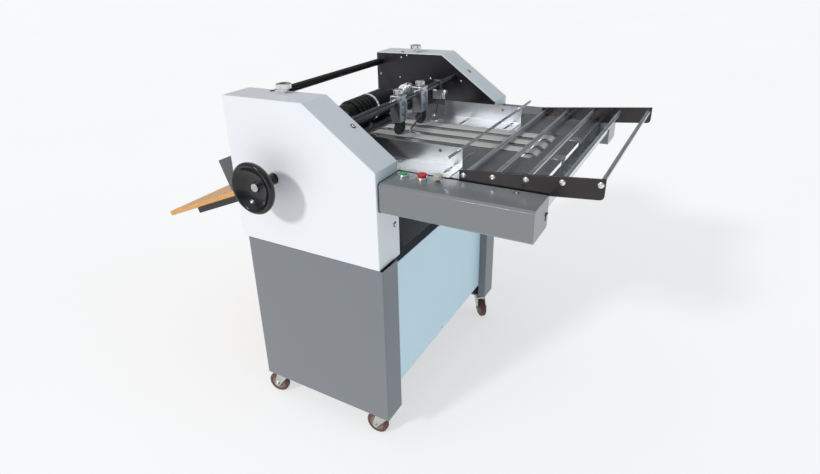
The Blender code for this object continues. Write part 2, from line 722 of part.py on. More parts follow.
def buttons():
    top = BEAM_Z[1] + BEZEL_H
    for name, x in BUTTON_XS.items():
        base = BEAM_Z[1] - 0.014
        profile = [(0, base), (BUTTON_R, base)]
        if name == "green_button":
            profile += [(BUTTON_R, top + 0.0035), (BUTTON_R - 0.0012, top + 0.005),
                        (0, top + 0.0052)]
            colour = CAP_GREEN
        else:
            head = 0.0135
            profile += [(BUTTON_R, top + 0.0050), (head, top + 0.0065), (head, top + 0.0115),
                        (head - 0.003, top + 0.0145), (0, top + 0.0155)]
            colour = CAP_RED
        item = turned("cap", profile, "Z", (x, BUTTON_Y), ROUND)
        finish(item, name, colour, Vector((x, BUTTON_Y, BEAM_Z[1])))


def speed_dial():
    top = BEAM_Z[1]
    outline = []
    flutes = 12
    for k in range(2 * flutes):
        turn = math.pi * k / flutes
        radius = DIAL_R if k % 2 else DIAL_R - 0.0012
        outline.append((DIAL_XY[0] + radius * math.cos(turn), DIAL_XY[1] + radius * math.sin(turn)))
    item = prism("grip", outline, "Z", top + 0.006, top + 0.020)
    low = turned("stem", [(0, top - 0.008), (0.003, top - 0.008), (0.003, top + 0.0006),
                          (0.0075, top + 0.0006), (0.0075, top + 0.007), (0, top + 0.007)],
                 "Z", DIAL_XY, SMALL)
    finish(join(item, low), "speed_dial", DIAL_BEIGE, Vector((DIAL_XY[0], DIAL_XY[1], top)))


def rocker():
    """The rocker switch, at rest with its lower half pressed in."""
    pivot_x = BEAM_LENGTH - 0.002
    half = ROCKER_HALF[1]
    outline = [(-0.006, -half + 0.003), (0.0, -half), (0.0045, -half), (0.0032, 0.0),
               (0.0045, half), (0.0, half), (-0.006, half - 0.003)]
    tilt = math.radians(7.0)
    placed = []
    for x, z in outline:
        placed.append((pivot_x + x * math.cos(tilt) + z * math.sin(tilt),
                       ROCKER_YZ[1] - x * math.sin(tilt) + z * math.cos(tilt)))
    ys = (ROCKER_YZ[0] - ROCKER_HALF[0], ROCKER_YZ[0] + ROCKER_HALF[0])
    item = prism("rocker", placed, "Y", ys[0], ys[1])
    finish(item, "power_rocker", BLACK_GLOSS, Vector((pivot_x, ROCKER_YZ[0], ROCKER_YZ[1])))


def cross_channel():
    ys = (BEAM_Y[1] + GAP, mirrored(BEAM_Y[1]) - GAP)
    (x0, x1), (z0, z1) = CHANNEL_X, CHANNEL_Z
    t = SHEET
    outline = [(x0, z0), (x1, z0), (x1, z1), (x1 - t, z1), (x1 - t, z0 + t),
               (x0 + t, z0 + t), (x0 + t, z1), (x0, z1)]
    finish(prism("channel", outline, "Y", ys[0], ys[1]), "cross_channel", ZINC)


# ------------------------------------------------------------------ feed tray
def tray_edge(x):
    share = (x - TRAY_X[0]) / (TRAY_X[1] - TRAY_X[0])
    return TRAY_TOP[0] + share * (TRAY_TOP[1] - TRAY_TOP[0])


def tray_plate(side):
    x0, x1 = TRAY_X
    z0, z1 = TRAY_TOP
    r = 0.010
    corner = [(x1 - r + r * math.sin(math.radians(a)),
               z1 - TRAY_HEIGHT + r - r * math.cos(math.radians(a))) for a in (0, 30, 60, 90)]
    outline = [(x0, z0 - TRAY_HEIGHT)] + corner + [(x1, z1 - 0.003), (x1 - 0.003, z1), (x0, z0)]
    ys = span(side, BEAM_Y[1] + GAP, BEAM_Y[1] + GAP + TRAY_PLATE)
    finish(prism("plate", outline, "Y", ys[0], ys[1]), "tray_plate_" + side, BLACK_STEEL)


def tray_rods():
    inner = BEAM_Y[1] + 2 * GAP + TRAY_PLATE
    for number, x in enumerate(ROD_XS, 1):
        z = tray_edge(x) - ROD_DROP
        item = rod("rod", ROD_R, "Y", (x, z), inner, mirrored(inner), SMALL)
        finish(item, "tray_rod_" + str(number), CHROME)


# ------------------------------------------------------------------ guides
def side_guide(side):
    wall = GUIDE_WALL_Y[side]
    low = TABLE_TOP + GAP
    t = GUIDE_SHEET
    edge = wall - GUIDE_FOOT[side]
    outline = [(wall + t, low), (wall + t, GUIDE_TOP), (wall, GUIDE_TOP), (wall, low + t),
               (edge, low + t), (edge, low)]
    item = prism("guide", outline, "X", GUIDE_X[0], GUIDE_X[1])
    eye = GUIDE_ROD_R + GAP
    cut(item, rod("eye", eye, "Y", GUIDE_ROD_XZ, wall - 0.01, wall + 0.01, SMALL))
    cut(item, rod("hole", GUIDE_HOLE_R, "Y", GUIDE_HOLE_XZ, wall - 0.01, wall + 0.01, SMALL))
    for x in GUIDE_SLOT_XS:
        xs = (x - SLOT_HALF, x + SLOT_HALF)
        ys = (wall - GUIDE_SLOT_REACH[side], wall - 0.006)
        cut(item, block("slot", xs, ys, (low - 0.01, low + 0.01)))
    finish(item, "side_guide_" + side, STAINLESS)


def guide_rod():
    item = rod("rod", GUIDE_ROD_R, "Y", GUIDE_ROD_XZ, GUIDE_ROD_Y[0], GUIDE_ROD_Y[1], SMALL)
    finish(item, "guide_rod", STEEL)


# ------------------------------------------------------------------ separators
def separator_bar():
    item = rod("bar", BAR_R, "Y", BAR_XZ, PLATE_IN + GAP, mirrored(PLATE_IN) - GAP, SMALL + 4)
    finish(item, "separator_bar", STEEL)


def separator_block(side):
    """A clamp block on the bar with its friction pad below."""
    y = SEPARATOR_Y[side]
    (dx, dy), (z0, z1) = SEPARATOR_SIZE, SEPARATOR_Z
    x = BAR_XZ[0] + 0.002
    xs = (x - dx / 2, x + dx / 2)
    outline = [(xs[0], z0 + 0.012), (xs[0] + 0.008, z0), (xs[1], z0), (xs[1], z1 - 0.003),
               (xs[1] - 0.003, z1), (xs[0] + 0.003, z1), (xs[0], z1 - 0.003)]
    item = prism("block", outline, "Y", y - dy / 2, y + dy / 2)
    pad = [(xs[0] + 0.014, z0 + 0.002), (xs[0] + 0.006, z0 - 0.020), (xs[0] + 0.010, PAD_BOTTOM),
           (xs[1] - 0.008, PAD_BOTTOM), (xs[1] - 0.002, z0 - 0.020), (xs[1] - 0.004, z0 + 0.002)]
    join(item, prism("pad", pad, "Y", y - dy / 2 + 0.008, y + dy / 2 - 0.008))
    bore = rod("bore", BAR_R + GAP, "Y", BAR_XZ, y - dy, y + dy, SMALL + 4)
    split = block("split", (xs[1] - 0.012, xs[1] + 0.01), (y - 0.004, y + 0.004),
                  (z0 + 0.014, z1 - 0.040))
    cut(item, bore, split)
    finish(item, "separator_block_" + side, ALUMINIUM, Vector((x, y, BAR_XZ[1])))


def separator_knob(side):
    y = SEPARATOR_Y[side]
    x = BAR_XZ[0] + 0.002
    top = SEPARATOR_Z[1] + GAP
    profile = [(0, top), (0.008, top), (0.008, top + 0.003), (0.014, top + 0.003),
               (0.0155, top + 0.005), (0.0155, top + 0.015), (0.014, top + 0.017), (0, top + 0.0175)]
    item = turned("knob", profile, "Z", (x, y), SMALL + 4)
    finish(item, "separator_knob_" + side, CHROME, Vector((x, y, top)))


def hold_down_clamp():
    """A clamp on the bar with a thumb screw and a thin hold-down arm."""
    y = CLAMP_Y
    x, z = BAR_XZ
    item = block("clamp", (x - 0.016, x + 0.016), (y - 0.012, y + 0.012), (z - 0.052, z + 0.017))
    screw = [(0, x + 0.014), (0.006, x + 0.014), (0.006, x + 0.018), (0.0145, x + 0.018),
             (0.0155, x + 0.020), (0.0155, x + 0.031), (0.0140, x + 0.033), (0, x + 0.033)]
    join(item, turned("screw", screw, "X", (y, z - 0.036), SMALL))
    start = Vector((x + 0.004, y - 0.006, z - 0.046))
    end = Vector((x + 0.014, y - 0.060, TABLE_TOP + 0.006))
    arm = rod("arm", 0.0028, "Z", (0.0, 0.0), 0.0, (end - start).length, 12)
    ball = turned("ball", [(0, -0.006), (0.0042, -0.0042), (0.006, 0), (0.0042, 0.0042), (0, 0.006)],
                  "Z", (0.0, 0.0), 12)
    arm.data.transform(Matrix.Translation(start) @
                       (end - start).to_track_quat("Z", "Y").to_matrix().to_4x4())
    ball.data.transform(Matrix.Translation(end + Vector((0, 0, 0.0035))))
    join(item, arm, ball)
    cut(item, rod("bore", BAR_R + GAP, "Y", BAR_XZ, y - 0.03, y + 0.03, SMALL + 4))
    finish(item, "hold_down_clamp", ALUMINIUM, Vector((x, y, z)))


# ------------------------------------------------------------------ drive
def drive_motor():
    face = mirrored(PLATE_IN) - GAP
    profile = [
        (0, face - MOTOR_LENGTH), (MOTOR_R - 0.012, face - MOTOR_LENGTH),
        (MOTOR_R - 0.004, face - MOTOR_LENGTH + 0.010),
        (MOTOR_R - 0.004, face - 0.036), (MOTOR_R, face - 0.034), (MOTOR_R, face),
        (0, face),
    ]
    item = turned("motor", profile, "Y", MOTOR_XZ, SMALL + 4)
    bore = rod("bore", 0.008 + GAP, "Y", MOTOR_XZ, face - 0.030, face + 0.01, SMALL)
    x, z = MOTOR_XZ
    feet = block("box", (x - 0.030, x + 0.030), (face - 0.110, face - 0.050),
                 (z - MOTOR_R - 0.018, z - MOTOR_R + 0.012))
    finish(cut(join(item, feet), bore), "drive_motor", DARK_METAL)


def motor_pulley():
    face = mirrored(PLATE_IN)
    profile = [(0, face - 0.028), (0.008, face - 0.028), (0.008, PULLEY_Y[0])]
    profile += pulley_profile(MOTOR_PULLEY_R, PULLEY_Y[0], PULLEY_Y[1])
    profile += [(0, PULLEY_Y[1])]
    item = turned("pulley", profile, "Y", MOTOR_XZ, SMALL + 4)
    finish(item, "motor_pulley", ALUMINIUM, Vector((MOTOR_XZ[0], 0.0, MOTOR_XZ[1])))


def drive_belt():
    circles = [(TOOL_X, LOWER_Z, LOWER_PULLEY_R),
               (REAR_ROLLER_X, BELT_ROLLER_Z, REAR_PULLEY_R),
               (MOTOR_XZ[0], MOTOR_XZ[1], MOTOR_PULLEY_R)]
    ys = (PULLEY_Y[0] + 0.0035, PULLEY_Y[1] - 0.0035)
    belt("drive_belt", circles, DRIVE_BELT_T, ys, RUBBER_BLACK)


# ------------------------------------------------------------------ delivery tray
def on_board(along, above):
    """The x and z of a point: along the board from its outer end, and above its face."""
    c, s = math.cos(BOARD_SLOPE), math.sin(BOARD_SLOPE)
    return (BOARD_OUTER[0] + along * c - above * s, BOARD_OUTER[1] + along * s + above * c)


def delivery_board():
    outline = [on_board(0, -BOARD_THICK), on_board(BOARD_LENGTH, -BOARD_THICK),
               on_board(BOARD_LENGTH, 0), on_board(0, 0)]
    item = prism("board", outline, "Y", BOARD_Y[0], BOARD_Y[1])
    finish(item, "delivery_board", BOARD_WOOD)


def delivery_stop():
    """A folded plate that stands square on the board."""
    t = SHEET
    d = STOP_DISTANCE
    outline = [on_board(d, GAP), on_board(d + 0.030, GAP), on_board(d + 0.030, GAP + t),
               on_board(d + t, GAP + t), on_board(d + t, STOP_HEIGHT), on_board(d, STOP_HEIGHT)]
    item = prism("stop", outline, "Y", BOARD_Y[0] + 0.002, BOARD_Y[1] - 0.002)
    finish(item, "delivery_stop", PAINT_GREY)


def delivery_bracket():
    """Two arms bolted inside the side frames, and the bar that joins them."""
    top = -BOARD_THICK - GAP
    low = top - ARM_SIZE
    near = PLATE_IN + GAP
    arm = [on_board(ARM_RANGE[0], low), on_board(ARM_RANGE[1], low),
           on_board(ARM_RANGE[1], top), on_board(ARM_RANGE[0], top)]
    d = ARM_RANGE[0] + 0.050
    bar = [on_board(d, low + 0.001), on_board(d + ARM_SIZE, low + 0.001),
           on_board(d + ARM_SIZE, top - 0.001), on_board(d, top - 0.001)]
    item = prism("arm", arm, "Y", near, near + ARM_SIZE)
    other = prism("arm", arm, "Y", mirrored(near + ARM_SIZE), mirrored(near))
    bridge = prism("bar", bar, "Y", near + 0.002, mirrored(near + 0.002))
    finish(join(item, bridge, other), "delivery_bracket", BLACK_STEEL)


# ------------------------------------------------------------------ finishes
PAINT_WHITE = ((0.84, 0.85, 0.87), 0.0, 0.35)
PAINT_GREY = ((0.27, 0.28, 0.29), 0.0, 0.42)
PANEL_BLUE = ((0.42, 0.52, 0.60), 0.0, 0.30)
BLACK_STEEL = ((0.018, 0.017, 0.018), 0.2, 0.30)
BLACK_GLOSS = ((0.010, 0.010, 0.011), 0.0, 0.12)
RUBBER_BLACK = ((0.020, 0.020, 0.020), 0.0, 0.60)
RUBBER_BROWN = ((0.090, 0.045, 0.030), 0.0, 0.60)
CHROME = ((0.80, 0.80, 0.80), 1.0, 0.10)
STEEL = ((0.55, 0.55, 0.56), 1.0, 0.25)
STAINLESS = ((0.72, 0.72, 0.70), 1.0, 0.18)
ZINC = ((0.66, 0.68, 0.70), 1.0, 0.35)
ALUMINIUM = ((0.60, 0.61, 0.62), 1.0, 0.35)
DARK_METAL = ((0.06, 0.07, 0.08), 0.3, 0.50)
TABLE_GREY = ((0.16, 0.16, 0.17), 0.6, 0.40)
BELT_GREY = ((0.50, 0.50, 0.48), 0.0, 0.70)
CAP_GREEN = ((0.02, 0.35, 0.12), 0.0, 0.30)
CAP_RED = ((0.55, 0.03, 0.03), 0.0, 0.30)
DIAL_BEIGE = ((0.50, 0.47, 0.40), 0.0, 0.45)
BOARD_WOOD = ((0.62, 0.36, 0.14), 0.0, 0.45)


def finish(item, name, look, origin=None):
    """Names a piece, gives it its own material, smooth rounds and its joint's origin."""
    item.name = name
    item.data.name = name
    colour, metallic, roughness = look
    paint = bpy.data.materials.new(name)
    paint.use_nodes = True
    shader = paint.node_tree.nodes["Principled BSDF"]
    shader.inputs["Base Color"].default_value = (*colour, 1.0)
    shader.inputs["Metallic"].default_value = metallic
    shader.inputs["Roughness"].default_value = roughness
    paint.diffuse_color = (*colour, 1.0)
    item.data.materials.clear()
    item.data.materials.append(paint)
    item.data.shade_smooth()
    item.data.set_sharp_from_angle(angle=math.radians(30.0))
    if origin is not None:
        item.data.transform(Matrix.Translation(-origin))
        item.location = origin
    return item


def centre_on_base():
    """Moves every piece so that the model's box is centred on x and y, and stands on z = 0."""
    bpy.context.view_layer.update()
    corners = []
    for item in bpy.context.scene.objects:
        corners += [item.matrix_world @ v.co for v in item.data.vertices]
    low = Vector([min(c[i] for c in corners) for i in range(3)])
    high = Vector([max(c[i] for c in corners) for i in range(3)])
    move = Vector((-(low.x + high.x) / 2, -(low.y + high.y) / 2, -low.z))
    for item in bpy.context.scene.objects:
        item.location += move
    bpy.context.view_layer.update()
    return move


def main():
    clear_scene()
    stand_frame()
    for side in ("near", "far"):
        stand_side(side)
        side_frame(side)
        side_cover(side)
        pressure_knob(side)
        beam(side)
        tray_plate(side)
        side_guide(side)
        separator_block(side)
        separator_knob(side)
    for end in ("front", "rear"):
        stand_panel(end)
        belt_roller(end)
    for name in CASTER_YAWS:
        caster(name)
    tie_bar()
    lower_tool_shaft()
    upper_tool_shaft()
    crease_sleeve()
    crease_ring()
    handwheel()
    feed_table()
    feed_belts()
    buttons()
    speed_dial()
    rocker()
    cross_channel()
    tray_rods()
    guide_rod()
    separator_bar()
    hold_down_clamp()
    drive_motor()
    motor_pulley()
    drive_belt()
    delivery_board()
    delivery_stop()
    delivery_bracket()
    move = centre_on_base()
    print("moved by", tuple(round(v, 5) for v in move))


main()
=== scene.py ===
"""A floor-standing creasing machine for card: the visual model, its finishes and its studio.

Sizes are in metres in the machine's own frame: x is 0 at the front faces of the side housings and
points to the feed side, y is 0 at the operator's outer face, and z is 0 on the floor. Each
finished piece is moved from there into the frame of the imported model.
"""

import sys

import json
import logging
from collections.abc import Iterable, Sequence
from dataclasses import dataclass, field
from enum import Enum
from math import cos, dist, pi, radians, sin, tan, tau
from typing import Any

import bmesh
import bpy
from bpy.types import Material, Mesh, Node, Object
from mathutils import Matrix, Vector

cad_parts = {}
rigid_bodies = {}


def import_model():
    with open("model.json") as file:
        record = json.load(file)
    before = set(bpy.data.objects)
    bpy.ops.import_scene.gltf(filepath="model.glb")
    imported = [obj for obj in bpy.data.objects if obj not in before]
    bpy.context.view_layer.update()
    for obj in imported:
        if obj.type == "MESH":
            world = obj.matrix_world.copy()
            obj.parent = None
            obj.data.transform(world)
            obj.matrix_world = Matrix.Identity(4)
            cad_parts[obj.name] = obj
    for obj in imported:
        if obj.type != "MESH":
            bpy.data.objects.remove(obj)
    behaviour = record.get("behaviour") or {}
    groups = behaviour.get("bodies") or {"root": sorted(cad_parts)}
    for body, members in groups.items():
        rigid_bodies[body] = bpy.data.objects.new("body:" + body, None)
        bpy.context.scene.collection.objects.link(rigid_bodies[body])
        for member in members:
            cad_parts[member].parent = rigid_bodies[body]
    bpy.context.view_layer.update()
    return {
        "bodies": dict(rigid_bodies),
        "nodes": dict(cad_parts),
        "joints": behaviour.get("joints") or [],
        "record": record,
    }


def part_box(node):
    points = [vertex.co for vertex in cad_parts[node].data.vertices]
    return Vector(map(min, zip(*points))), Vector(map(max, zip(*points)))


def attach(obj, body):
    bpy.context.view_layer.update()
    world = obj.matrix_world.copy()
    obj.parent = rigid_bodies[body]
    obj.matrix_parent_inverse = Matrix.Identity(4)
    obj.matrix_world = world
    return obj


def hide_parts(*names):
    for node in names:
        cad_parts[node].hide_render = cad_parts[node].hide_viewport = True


log = logging.getLogger("creasing_machine")

Point = tuple[float, float]
Span = tuple[float, float]
Colour = tuple[float, float, float]
Socket = bpy.types.NodeSocket
Spots = Sequence[tuple[Sequence[float], Sequence[float]]]
GAP = 0.0003
SHEET = 0.002
HEXAGON = range(0, 360, 60)


class Side(Enum):
    """The operator's side of the machine, and the one away from the operator."""

    NEAR = "near"
    FAR = "far"

    def y(self, distance: float) -> float:
        """The y of a point that lies this far in from the side's outer face."""
        return distance if self is Side.NEAR else MACHINE_WIDTH - distance

    def span(self, low: float, high: float) -> Span:
        """The y span between two distances from the side's outer face."""
        a, b = self.y(low), self.y(high)
        return (min(a, b), max(a, b))


class Axis(Enum):
    """An axis of the machine's frame, as the index of its coordinate."""

    X = 0
    Y = 1
    Z = 2

    def point(self, first: float, second: float, along: float) -> Vector:
        """A point from two coordinates across the axis and one along it."""
        parts = [first, second]
        parts.insert(self.value, along)
        return Vector(parts)


MACHINE_WIDTH = 0.950
TOOL_X = -0.342
LOWER_Z, UPPER_Z = 0.844, 0.935
FRAME_IN = 0.1135
REAR_ROLLER = (-0.245, 0.8585)
ROLLER_R = 0.026
HOUSING_TOP = 1.070
SLOT_XS = (-0.034, 0.121)
STAND_X = (-0.479, 0.009)
STAND_SHORT = 0.080
CASTER_IN = (0.039, 0.042)
PULLEY_Y = (MACHINE_WIDTH - 0.039, MACHINE_WIDTH - 0.021)


def plugged(tree: bpy.types.NodeTree, kind: str, inputs: dict[Any, Any],
            settings: dict[str, Any]) -> Node:
    """Adds a node to a tree, its settings first, then its values and links.

    Args:
        tree: The node tree.
        kind: The node's type.
        inputs: Socket name or index to a value, or to the socket that feeds it.
        settings: Properties of the node.

    Returns:
        The node.
    """
    made = tree.nodes.new(kind)
    for key, value in settings.items():
        setattr(made, key, value)
    for key, value in inputs.items():
        if isinstance(value, Socket):
            tree.links.new(value, made.inputs[key])
        else:
            made.inputs[key].default_value = value
    return made


# ---- materials
class Recipe:
    """A material in the making: its node tree, and short calls for what the finishes share."""

    def __init__(self, name: str) -> None:
        """Starts the material.

        Args:
            name: The material's name.
        """
        self.material = bpy.data.materials.new(name)
        self.material.use_nodes = True
        self.tree = self.material.node_tree
        self.shader = self.tree.nodes["Principled BSDF"]
        self.place = self.tree.nodes.new("ShaderNodeTexCoord").outputs["Object"]

    def node(self, kind: str, inputs: dict[Any, Any], **settings: Any) -> Node:
        """Adds a node to the material."""
        return plugged(self.tree, kind, inputs, settings)

    def stretched(self, scale: Sequence[float]) -> Socket:
        """Object coordinates scaled by three factors, so that a pattern runs along one axis."""
        return self.node("ShaderNodeMapping", {"Vector": self.place, "Scale": scale}).outputs[0]

    def noise(self, scale: float, detail: float = 2.0, vector: Any = None,
              distortion: float = 0.0) -> Socket:
        """A noise value between 0 and 1.

        Args:
            scale: Features per metre, roughly.
            detail: Octaves of finer noise.
            vector: Coordinates, or None for plain object coordinates.
            distortion: How far the pattern is warped.

        Returns:
            The value socket.
        """
        return self.node("ShaderNodeTexNoise", {
            "Vector": vector or self.place, "Scale": scale, "Detail": detail,
            "Distortion": distortion,
        }).outputs["Fac"]

    def remap(self, value: Socket, low: float, high: float, start: float = 0.3,
              end: float = 0.7) -> Socket:
        """The value's part from start to end, spread between low and high."""
        return self.node("ShaderNodeMapRange", {
            "Value": value, "From Min": start, "From Max": end, "To Min": low, "To Max": high,
        }).outputs[0]

    def blend(self, factor: Socket, low: Any, high: Any) -> Socket:
        """A colour between low and high; each is a colour or a socket."""
        ends = [end if isinstance(end, Socket) else (*end, 1.0)
                for end in (low, high)]
        return self.node("ShaderNodeMix", {0: factor, 6: ends[0], 7: ends[1]},
                         data_type="RGBA").outputs[2]

    def bump(self, height: Socket, strength: float, distance: float,
             after: Any = None) -> Socket:
        """A normal from a height, laid over an earlier normal where one is given."""
        made = self.node("ShaderNodeBump", {
            "Height": height, "Strength": strength, "Distance": distance,
        })
        if after is not None:
            self.tree.links.new(after, made.inputs["Normal"])
        return made.outputs[0]

    def wire(self, colour: Any = None, roughness: Any = None, normal: Any = None,
             **constants: float) -> Material:
        """Feeds the shader.

        Args:
            colour: Socket for the base colour.
            roughness: Socket for the roughness.
            normal: Socket for the normal.
            constants: Socket names, with _ for a space, and their plain values.

        Returns:
            The finished material.
        """
        links = self.tree.links
        for socket, source in (("Base Color", colour), ("Roughness", roughness),
                               ("Normal", normal)):
            if source is not None:
                links.new(source, self.shader.inputs[socket])
        for key, value in constants.items():
            self.shader.inputs[key.replace("_", " ")].default_value = value
        return self.material


def shade(colour: Colour, factor: float) -> Colour:
    """The colour made lighter or darker by a factor."""
    return tuple(min(1.0, part * factor) for part in colour)


@dataclass(frozen=True)
class Finish:
    """How a surface looks. Each kind of finish writes its own recipe.

    Attributes:
        name: The material's name.
        slot: The record's material slot; not used.
        colour: Linear base colour.
        roughness: Mean roughness.
    """

    name: str
    slot: str
    colour: Colour
    roughness: float

    def material(self) -> Material:
        """The finish's material, made on first use."""
        return bpy.data.materials.get(self.name) or self.mix(Recipe(self.name))

    def mix(self, recipe: Recipe) -> Material:
        """Writes the recipe and returns its material."""
        raise NotImplementedError


@dataclass(frozen=True)
class PowderCoat(Finish):
    """Baked paint with orange peel, faint cloudiness and a few rubbed places.

    Attributes:
        peel: Strength of the orange peel.
        grain: Bumps per metre of the orange peel.
        cloud: Share by which the colour drifts over the sheet.
        coat: Weight of the clear gloss on top.
        rub: Share by which rubbing changes the roughness.
    """

    peel: float = 0.12
    grain: float = 620.0
    cloud: float = 0.035
    coat: float = 0.0
    rub: float = 0.07

    def mix(self, recipe: Recipe) -> Material:
        """Writes the paint's recipe."""
        drift = recipe.noise(3.2, 3.0, distortion=0.4)
        fleck = recipe.remap(recipe.noise(self.grain * 1.7, 1.0), 0.0, 1.0, 0.35, 0.65)
        broad = recipe.blend(
            drift, shade(self.colour, 1 - self.cloud), shade(self.colour, 1 + self.cloud))
        fine = recipe.blend(fleck, shade(self.colour, 0.94), shade(self.colour, 1.05))
        half = recipe.remap(drift, 0.35, 0.65, 0.0, 1.0)
        colour = recipe.blend(half, broad, fine)
        rubbed = recipe.noise(5.0, 3.0, distortion=0.3)
        rough = recipe.remap(
            rubbed, self.roughness * (1 - self.rub), self.roughness * (1 + self.rub), 0.35, 0.7)
        peel = recipe.bump(recipe.noise(self.grain, 1.5), self.peel, 0.0006)
        wave = recipe.bump(recipe.noise(9.0, 1.0), 0.02, 0.003, peel)
        return recipe.wire(colour, rough, wave, Coat_Weight=self.coat, Coat_Roughness=0.12, IOR=1.5)


@dataclass(frozen=True)
class GrainedMetal(Finish):
    """Bare metal with lines of grinding, brushing or turning, and handling marks.

    Attributes:
        grain: Scale of the lines along x, y and z; a low number is the way they run.
        depth: Strength of the lines.
        stain: Share by which handling darkens the metal.
    """

    grain: Colour = (6.0, 900.0, 900.0)
    depth: float = 0.10
    stain: float = 0.14

    def mix(self, recipe: Recipe) -> Material:
        """Writes the metal's recipe."""
        lines = recipe.noise(1.0, 3.0, recipe.stretched(self.grain))
        marks = recipe.noise(22.0, 5.0, distortion=0.8)
        wide = recipe.noise(4.0, 2.0)
        bright = recipe.blend(
            recipe.remap(lines, 0.0, 1.0), shade(self.colour, 0.90), shade(self.colour, 1.07))
        colour = recipe.blend(
            recipe.remap(marks, 0.0, self.stain, 0.45, 0.8), bright, shade(self.colour, 0.35))
        low, high = self.roughness * 0.75, self.roughness * 1.35
        rough = recipe.remap(recipe.node("ShaderNodeMath", {0: lines, 1: wide},
                                         operation="ADD").outputs[0], low, high, 0.7, 1.3)
        normal = recipe.bump(lines, self.depth, 0.0002)
        return recipe.wire(colour, rough, normal, Metallic=1.0)


@dataclass(frozen=True)
class Plating(Finish):
    """Bright plating, such as chrome or nickel, with faint haze and hairlines."""

    def mix(self, recipe: Recipe) -> Material:
        """Writes the plating's recipe."""
        haze = recipe.noise(12.0, 3.0, distortion=0.4)
        hair = recipe.noise(1.0, 2.0, recipe.stretched((260.0, 40.0, 260.0)))
        colour = recipe.blend(
            recipe.remap(haze, 0.0, 0.22, 0.5, 0.85), self.colour, shade(self.colour, 0.62))
        rough = recipe.remap(haze, self.roughness * 0.75, self.roughness * 1.4)
        return recipe.wire(colour, rough, recipe.bump(hair, 0.012, 0.0001), Metallic=1.0)


@dataclass(frozen=True)
class Galvanising(Finish):
    """Zinc with its crystal spangle.

    Attributes:
        spangle: Crystals per metre.
    """

    spangle: float = 130.0

    def mix(self, recipe: Recipe) -> Material:
        """Writes the zinc's recipe."""
        cells = recipe.node("ShaderNodeTexVoronoi", {
            "Vector": recipe.place, "Scale": self.spangle, "Randomness": 1.0,
        }).outputs["Color"]
        grey = recipe.node("ShaderNodeRGBToBW", {"Color": cells}).outputs[0]
        dirt = recipe.noise(40.0, 6.0, distortion=1.0)
        bright = recipe.blend(grey, shade(self.colour, 0.72), shade(self.colour, 1.12))
        colour = recipe.blend(recipe.remap(dirt, 0.0, 0.45, 0.5, 0.85), bright, (0.16, 0.14, 0.12))
        rough = recipe.remap(grey, self.roughness * 0.7, self.roughness * 1.4, 0.1, 0.9)
        return recipe.wire(colour, rough, recipe.bump(grey, 0.10, 0.0003), Metallic=1.0)


@dataclass(frozen=True)
class Rubber(Finish):
    """Matt rubber or soft polyurethane, with dust in its pores.

    Attributes:
        dust: Colour of the dust.
        pores: Bumps per metre.
    """

    dust: Colour = (0.16, 0.15, 0.14)
    pores: float = 900.0

    def mix(self, recipe: Recipe) -> Material:
        """Writes the rubber's recipe."""
        dust = recipe.noise(55.0, 7.0, distortion=0.5)
        pores = recipe.noise(self.pores, 2.0)
        colour = recipe.blend(recipe.remap(dust, 0.0, 0.35, 0.48, 0.85), self.colour, self.dust)
        rough = recipe.remap(dust, self.roughness * 0.85, min(1.0, self.roughness * 1.25))
        return recipe.wire(colour, rough, recipe.bump(pores, 0.18, 0.0004), IOR=1.45)


@dataclass(frozen=True)
class MouldedPlastic(Finish):
    """Moulded plastic with a faint texture, polished where hands reach it.

    Attributes:
        texture: Strength of the moulded texture.
        coat: Weight of the gloss.
    """

    texture: float = 0.05
    coat: float = 0.6

    def mix(self, recipe: Recipe) -> Material:
        """Writes the plastic's recipe."""
        wear = recipe.noise(36.0, 5.0, distortion=0.7)
        colour = recipe.blend(recipe.remap(wear, 0.0, 1.0, 0.3, 0.8), shade(self.colour, 0.9),
                              shade(self.colour, 1.12))
        rough = recipe.remap(wear, self.roughness * 0.7, self.roughness * 1.5)
        grain = recipe.bump(recipe.noise(1100.0, 1.0), self.texture, 0.0003)
        flow = recipe.bump(recipe.noise(60.0, 1.0), 0.04, 0.001, grain)
        return recipe.wire(colour, rough, flow, Coat_Weight=self.coat, Coat_Roughness=0.06)


@dataclass(frozen=True)
class BeltCloth(Finish):
    """The face of a conveyor belt: a fine fabric imprint, with scuffs along the way it runs."""

    def mix(self, recipe: Recipe) -> Material:
        """Writes the belt's recipe."""
        weave = recipe.node("ShaderNodeTexVoronoi", {
            "Vector": recipe.place, "Scale": 1250.0, "Randomness": 0.25,
        }).outputs["Distance"]
        scuff = recipe.noise(1.0, 5.0, recipe.stretched((9.0, 210.0, 9.0)), 0.3)
        grime = recipe.noise(26.0, 6.0, distortion=0.9)
        worn = recipe.blend(recipe.remap(scuff, 0.0, 1.0, 0.3, 0.75), shade(self.colour, 1.05),
                            shade(self.colour, 0.72))
        colour = recipe.blend(
            recipe.remap(grime, 0.0, 0.5, 0.52, 0.9), worn, shade(self.colour, 0.42))
        rough = recipe.remap(scuff, self.roughness * 0.8, self.roughness * 1.15)
        return recipe.wire(colour, rough, recipe.bump(weave, 0.25, 0.0003), IOR=1.45)


